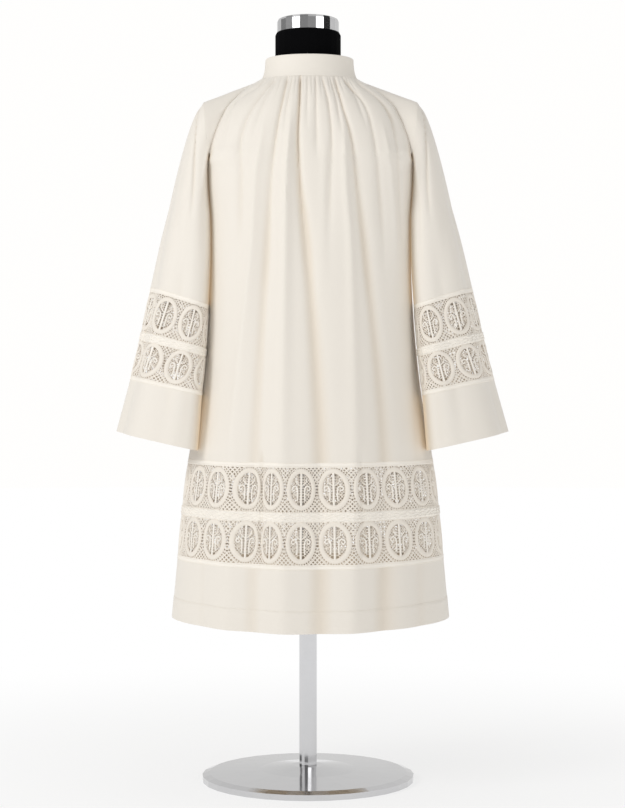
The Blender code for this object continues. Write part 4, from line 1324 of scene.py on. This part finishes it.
def guide(band, first, last, outward):
    across = np.linspace(first - 0.02, last + 0.02, 30 * (last - first) + 1)
    down = np.linspace(-0.01, 1.01, 33)
    points = band(*np.meshgrid(across, down)) + np.array((GARMENT_X, 0.0, 0.0))
    wide = len(across)
    number = np.arange(points.shape[0] * wide).reshape(points.shape[:2])
    faces = np.stack((number[:-1, :-1], number[1:, :-1], number[1:, 1:], number[:-1, 1:]), axis=-1)
    faces = faces.reshape(-1, 4)
    if not outward:
        faces = faces[:, ::-1]
    flat = points.reshape(-1, 3)
    surface = link_mesh("guide", flat, faces.tolist(), lace_thread)
    corner = faces.ravel()
    place = np.stack((across[corner % wide] - first, down[corner // wide]), axis=1)
    surface.data.uv_layers.new(name="cloth").data.foreach_set("uv", place.ravel())
    return surface


# %% [markdown]
# ## All the lace bands
# The body's band is made in two halves and each sleeve's in two, as the solids are.

# %% Lace bands
repeat = link_mesh("lace_repeat", np.array(flat_points), flat_faces, lace_thread, 60.0)
repeat.data.attributes.new("tone", "FLOAT", "POINT").data.foreach_set("value", flat_painted_light)
wrap = lace_tree()


def lace(name, band, first, last, outward=True):
    surface = guide(band, first, last, outward)
    values = {"Repeat": repeat, "Count": last - first, "Material": lace_thread}
    piece = grown(name, wrap, values, surface)
    drop(pieces.pop("guide"))
    describe(piece)
    return piece


lace("lace_cloth_back", body_band, 0, BODY_REPEATS_BEHIND)
lace("lace_cloth_front", body_band, BODY_REPEATS_BEHIND, BODY_REPEATS)
for word, side in SIDES:
    band = sleeve_band(side)
    lace(f"sleeve_lace_cloth_{word}_back", band, 0, SLEEVE_REPEATS_BEHIND, side < 0)
    lace(f"sleeve_lace_cloth_{word}_front", band, SLEEVE_REPEATS_BEHIND, SLEEVE_REPEATS, side < 0)
drop(pieces.pop("lace_repeat"))

# %% [markdown]
# ## Seams and stitches
# A run of stitches follows a line on the cloth: Geometry Nodes turn the line into a curve, space points
# along it, and stand one stitch on each, turned along the line and away from the cloth. The curved
# yoke seam is marked by a row of stitches in dark tan, a painted shadow line under the yoke's edge,
# with a bright cord beside it. The hem shows one row of small ivory stitches.

# %% The stitching tree
def stitch_tree():
    tree, nodes, given = new_tree("run_of_stitches", (
        ("Path", "Geometry", None), ("Stitch", "Object", None), ("Pitch", "Float", 0.003),
        ("Material", "Material", None)))
    line = nodes.add("GeometryNodeMeshToCurve", inputs={0: given["Path"]})[0]
    spacing = {"Curve": line, "Length": given["Pitch"]}
    even = nodes.add("GeometryNodeResampleCurve", {"mode": "LENGTH"}, spacing)[0]
    out = nodes.add("GeometryNodeInputNamedAttribute", {"data_type": "FLOAT_VECTOR"}, {"Name": "out"})[0]
    ahead = nodes.add("GeometryNodeInputTangent")[0]
    axes = {"primary_axis": "X", "secondary_axis": "Z"}
    turned = nodes.add("FunctionNodeAxesToRotation", axes, {0: ahead, 1: out})[0]
    real = copied(nodes, given["Stitch"], {"Points": even, "Rotation": turned})
    finished(nodes, real, given["Material"])
    return tree


def stitch(name, long, wide, tall):
    """One stitch: a small closed bead that lies along X."""
    points = []
    for x, size in ((-0.5, 0.35), (-0.3, 0.9), (0.3, 0.9), (0.5, 0.35)):
        for k in range(6):
            a = math.radians(60.0 * k + 30.0)
            points.append((x * long, size * wide / 2.0 * math.cos(a), size * tall / 2.0 * math.sin(a)))
    faces = [(r * 6 + k, r * 6 + (k + 1) % 6, r * 6 + 6 + (k + 1) % 6, r * 6 + 6 + k)
             for r in range(3) for k in range(6)]
    faces += [tuple(range(5, -1, -1)), tuple(range(18, 24))]
    return link_mesh(name, np.array(points), faces, lace_thread)


def line_of(points, out, closed=False):
    """A line of points on the cloth that keeps the direction away from it."""
    count = len(points)
    mesh = bpy.data.meshes.new("line")
    edges = [(i, (i + 1) % count) for i in range(count if closed else count - 1)]
    mesh.from_pydata(np.asarray(points) + np.array((GARMENT_X, 0.0, 0.0)), edges, [])
    mesh.attributes.new("out", "FLOAT_VECTOR", "POINT").data.foreach_set("vector", np.asarray(out).ravel())
    return put("line", mesh)


# %% [markdown]
# ## The yoke seams
# The seam runs from the armhole up the back, past the collar and down the front. It is sampled from
# the body's own edge, and each end stops where the sleeve begins.

# %% Stitch them
sew = stitch_tree()
seam_levels = np.linspace(YOKE_LEVELS[-1], YOKE_TOP - 0.001, 60)


def yoke_seam(side, beside, raised):
    """Points of a yoke seam, moved to the body's side and away from the cloth."""
    halves = []
    for turn in (90.0, 90.0001):
        points = body_base(seam_levels, side * (turn - beside if turn == 90.0 else turn + beside))
        halves.append((points, inward(points, seam_levels)))
    points = np.concatenate((halves[0][0], halves[1][0][::-1]))
    through = np.concatenate((halves[0][1], halves[1][1][::-1]))
    return line_of(points - through * raised, -through)


def sewn(name, line, bead, pitch, material):
    piece = grown(name, sew, {"Stitch": bead, "Pitch": pitch, "Material": material}, line)
    drop(line)
    describe(piece)
    return piece


tan_bead = stitch("tan_bead", 0.0024, 0.0018, 0.0018)
cord_bead = stitch("cord_bead", 0.0034, 0.0016, 0.0018)
hem_bead = stitch("hem_bead", 0.0024, 0.0008, 0.0009)
for word, side in SIDES:
    # dark tan stitches, a painted shadow line under the yoke's edge
    sewn(f"yoke_stitches_{word}", yoke_seam(side, 0.0, 0.0006), tan_bead, 0.0028, seam_shadow_thread)
    sewn(f"yoke_cord_{word}", yoke_seam(side, 0.9, 0.0008), cord_bead, 0.0023, ivory_cloth)
turns = np.linspace(-180.0, 180.0, 481)[:-1]
hem_points, hem_through, _ = body_point(HEM + HEM_TURNED, turns)
hem_line = line_of(hem_points - hem_through * 0.0002, -hem_through, closed=True)
sewn("hem_stitches", hem_line, hem_bead, 0.0036, ivory_cloth)
drop(*(pieces.pop(name) for name in ("tan_bead", "cord_bead", "hem_bead")))
for word in ("yoke_stitches_left", "yoke_stitches_right", "yoke_cord_left", "yoke_cord_right",
             "hem_stitches"):
    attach(pieces[word], "root")

# %% [markdown]
# ## The dress form
# The form's torso and neck are covered with black jersey, and its cap, pole and base are polished
# steel. Their solids have the right shape already, so they only get their finish.

# %% Form finishes
def jersey():
    material, nodes, shader = new_material("form_cover")
    fuzz = nodes.noise(700.0)
    shade = nodes.blend(fuzz, (0.001, 0.001, 0.0012), (0.004, 0.004, 0.0045))
    nodes.fill(shader, {"Base Color": shade, "Roughness": fuzz * 0.1 + 0.85, "Specular IOR Level": 0.03,
                        "Normal": nodes.bump(fuzz, 0.0004, 0.5)})
    return material


def polished_steel():
    material, nodes, shader = new_material("chrome")
    smear = nodes.noise(40.0)
    shade = nodes.blend(smear * 0.3, (0.66, 0.66, 0.67), (0.52, 0.52, 0.53))
    nodes.fill(shader, {"Base Color": shade, "Roughness": smear * 0.10 + 0.06, "Metallic": 1.0})
    return material


FORM = ((jersey(), ("form_torso", "form_neck")), (polished_steel(), ("neck_cap", "pole", "base")))
for finish, nodes_of_form in FORM:
    for node in nodes_of_form:
        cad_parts[node].data.materials.clear()
        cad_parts[node].data.materials.append(finish)
print("the form keeps its solids:", *(name for _, names in FORM for name in names))

# %% [markdown]
# ## Light, floor and backdrop
# A shop photographs white cloth against white, in soft light that comes from every side and a little
# more from the left. The world is that soft light, one large area light stands left of the camera,
# and the floor fades into the backdrop so that no horizon shows. Polished steel needs something to
# reflect, so in reflections alone the room has dark and bright cards standing round it.

# %% Studio
SKY = 0.515
ROOM = ((0.0, 0.75), (0.18, 0.70), (0.185, 0.04), (0.20, 0.04), (0.205, 0.36), (0.30, 0.40),
        (0.31, 1.00), (0.415, 0.98), (0.42, 0.05), (0.432, 0.05), (0.437, 0.32), (0.483, 0.30),
        (0.488, 0.02), (0.506, 0.02), (0.51, 0.34), (0.556, 0.36), (0.562, 0.92), (0.69, 0.96),
        (0.695, 0.03), (0.785, 0.04), (0.79, 0.85), (1.0, 0.75))


def area_light(name, place, target, size, power):
    lamp = bpy.data.lights.new(name, "AREA")
    lamp.shape = "DISK"
    lamp.size = size
    lamp.energy = power
    holder = put(name, lamp)
    holder.location = place
    holder.rotation_euler = (Vector(target) - Vector(place)).to_track_quat("-Z", "Y").to_euler()


def studio():
    world = bpy.data.worlds.new("studio")
    world.use_nodes = True
    bpy.context.scene.world = world
    nodes = Nodes(world.node_tree)
    path = nodes.add("ShaderNodeLightPath")
    way = nodes.add("ShaderNodeTexCoord")["Generated"]
    split = nodes.add("ShaderNodeSeparateXYZ", inputs={0: way})
    round_the_room = split["X"].math("ARCTAN2", split["Y"] * -1.0) / (2.0 * math.pi) + 0.5
    cards = nodes.add("ShaderNodeValToRGB", {"stops": ROOM}, {0: round_the_room})[0]
    soft = path["Is Camera Ray"] * (1.0 - SKY) + SKY
    mirrored_room = path["Is Glossy Ray"]
    strength = soft * (1.0 - mirrored_room) + mirrored_room * cards
    nodes.fill(world.node_tree.nodes["Background"], {"Color": (1.0, 0.995, 0.985, 1.0), "Strength": strength})
    area_light("key", (-3.2, -2.2, 2.9), (0.0, 0.0, 0.9), 2.0, 73.0)
    area_light("fill", (2.2, -3.0, 1.6), (0.0, 0.0, 0.8), 2.0, 17.0)


def floor():
    material, nodes, shader = new_material("floor")
    spot = nodes.add("ShaderNodeTexCoord")["Object"]
    away = nodes.add("ShaderNodeVectorMath", {"operation": "LENGTH"}, {0: spot})["Value"]
    fade = nodes.add("ShaderNodeMapRange", {"interpolation_type": "SMOOTHSTEP"},
                     {"Value": away, "From Min": 0.15, "From Max": 1.6, "To Min": 0.70})[0]
    nodes.fill(shader, {"Base Color": (0.96, 0.958, 0.952, 1.0), "Roughness": 0.8})
    glow = nodes.add("ShaderNodeEmission", inputs={"Color": (1.0, 1.0, 1.0, 1.0), "Strength": 1.0})[0]
    mixed = nodes.add("ShaderNodeMixShader", inputs={0: fade, 1: Wire(nodes, shader.outputs[0]), 2: glow})[0]
    nodes.fill(material.node_tree.nodes["Material Output"], {"Surface": mixed})
    turns = 2.0 * math.pi * np.arange(64) / 64
    edge = np.stack((12.0 * np.cos(turns), 12.0 * np.sin(turns), np.full(64, -0.0005)), axis=1)
    ground = link_mesh("floor", edge, [tuple(range(64))], material)
    pieces.pop("floor")


studio()
floor()
bpy.context.scene.view_settings.view_transform = "Standard"
print("studio ready")

# %% Sheets
Sheet = namedtuple("Sheet", "piece stands_for wide tall share rests_on held", defaults=("hung",))
SHEETS = [
    Sheet("back_panel", "back", 0.66, 0.72, 0.90, ["form_torso", "collar_band"], "gathered"),
    Sheet("front_panel_right", "front_right", 0.33, 0.70, 0.90, ["form_torso"], "gathered"),
    Sheet("front_panel_left", "front_left", 0.33, 0.70, 0.90, ["form_torso"], "gathered"),
    Sheet("collar_band", "collar", 0.50, 0.0425, 0.93, ["back_panel"]),
    Sheet("hem_cloth_back", "hem_back", 0.72, 0.106, 1.0, ["lace_cloth_back"]),
    Sheet("hem_cloth_front", "hem_front", 0.72, 0.106, 1.0, ["lace_cloth_front"]),
    Sheet("lace_cloth_back", "lace_back", 0.72, 0.178, 0.9, ["back_panel"]),
    Sheet("lace_cloth_front", "lace_front", 0.66, 0.178, 0.9, ["front_panel_left"]),
]
for word, side in SIDES:
    lace_name = f"sleeve_lace_cloth_{word}"
    SHEETS += [
        Sheet(f"sleeve_cloth_{word}", f"sleeve_{word}", 0.40, 0.36, 0.80, ["form_torso"]),
        Sheet(f"cuff_cloth_{word}", f"cuff_{word}", 0.44, 0.10, 1.0, [f"{lace_name}_back"]),
        Sheet(f"yoke_cloth_{word}", f"yoke_{word}", 0.30, 0.09, 0.5, ["form_torso"]),
        Sheet(f"{lace_name}_back", f"sleeve_lace_{word}_back", 0.24, 0.17, 0.9, [f"sleeve_cloth_{word}"]),
        Sheet(f"{lace_name}_front", f"sleeve_lace_{word}_front", 0.18, 0.17, 0.9, [f"sleeve_cloth_{word}"]),
    ]

for sheet in SHEETS:
    piece = pieces[sheet.piece]
    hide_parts(sheet.stands_for)
    "lace_thread" if "lace" in sheet.piece else "ivory_cloth"
    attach(piece, "root")
    area = sheet.wide * sheet.tall * sheet.share
    print(sheet.piece, "share", round(describe(piece) / area, 3))
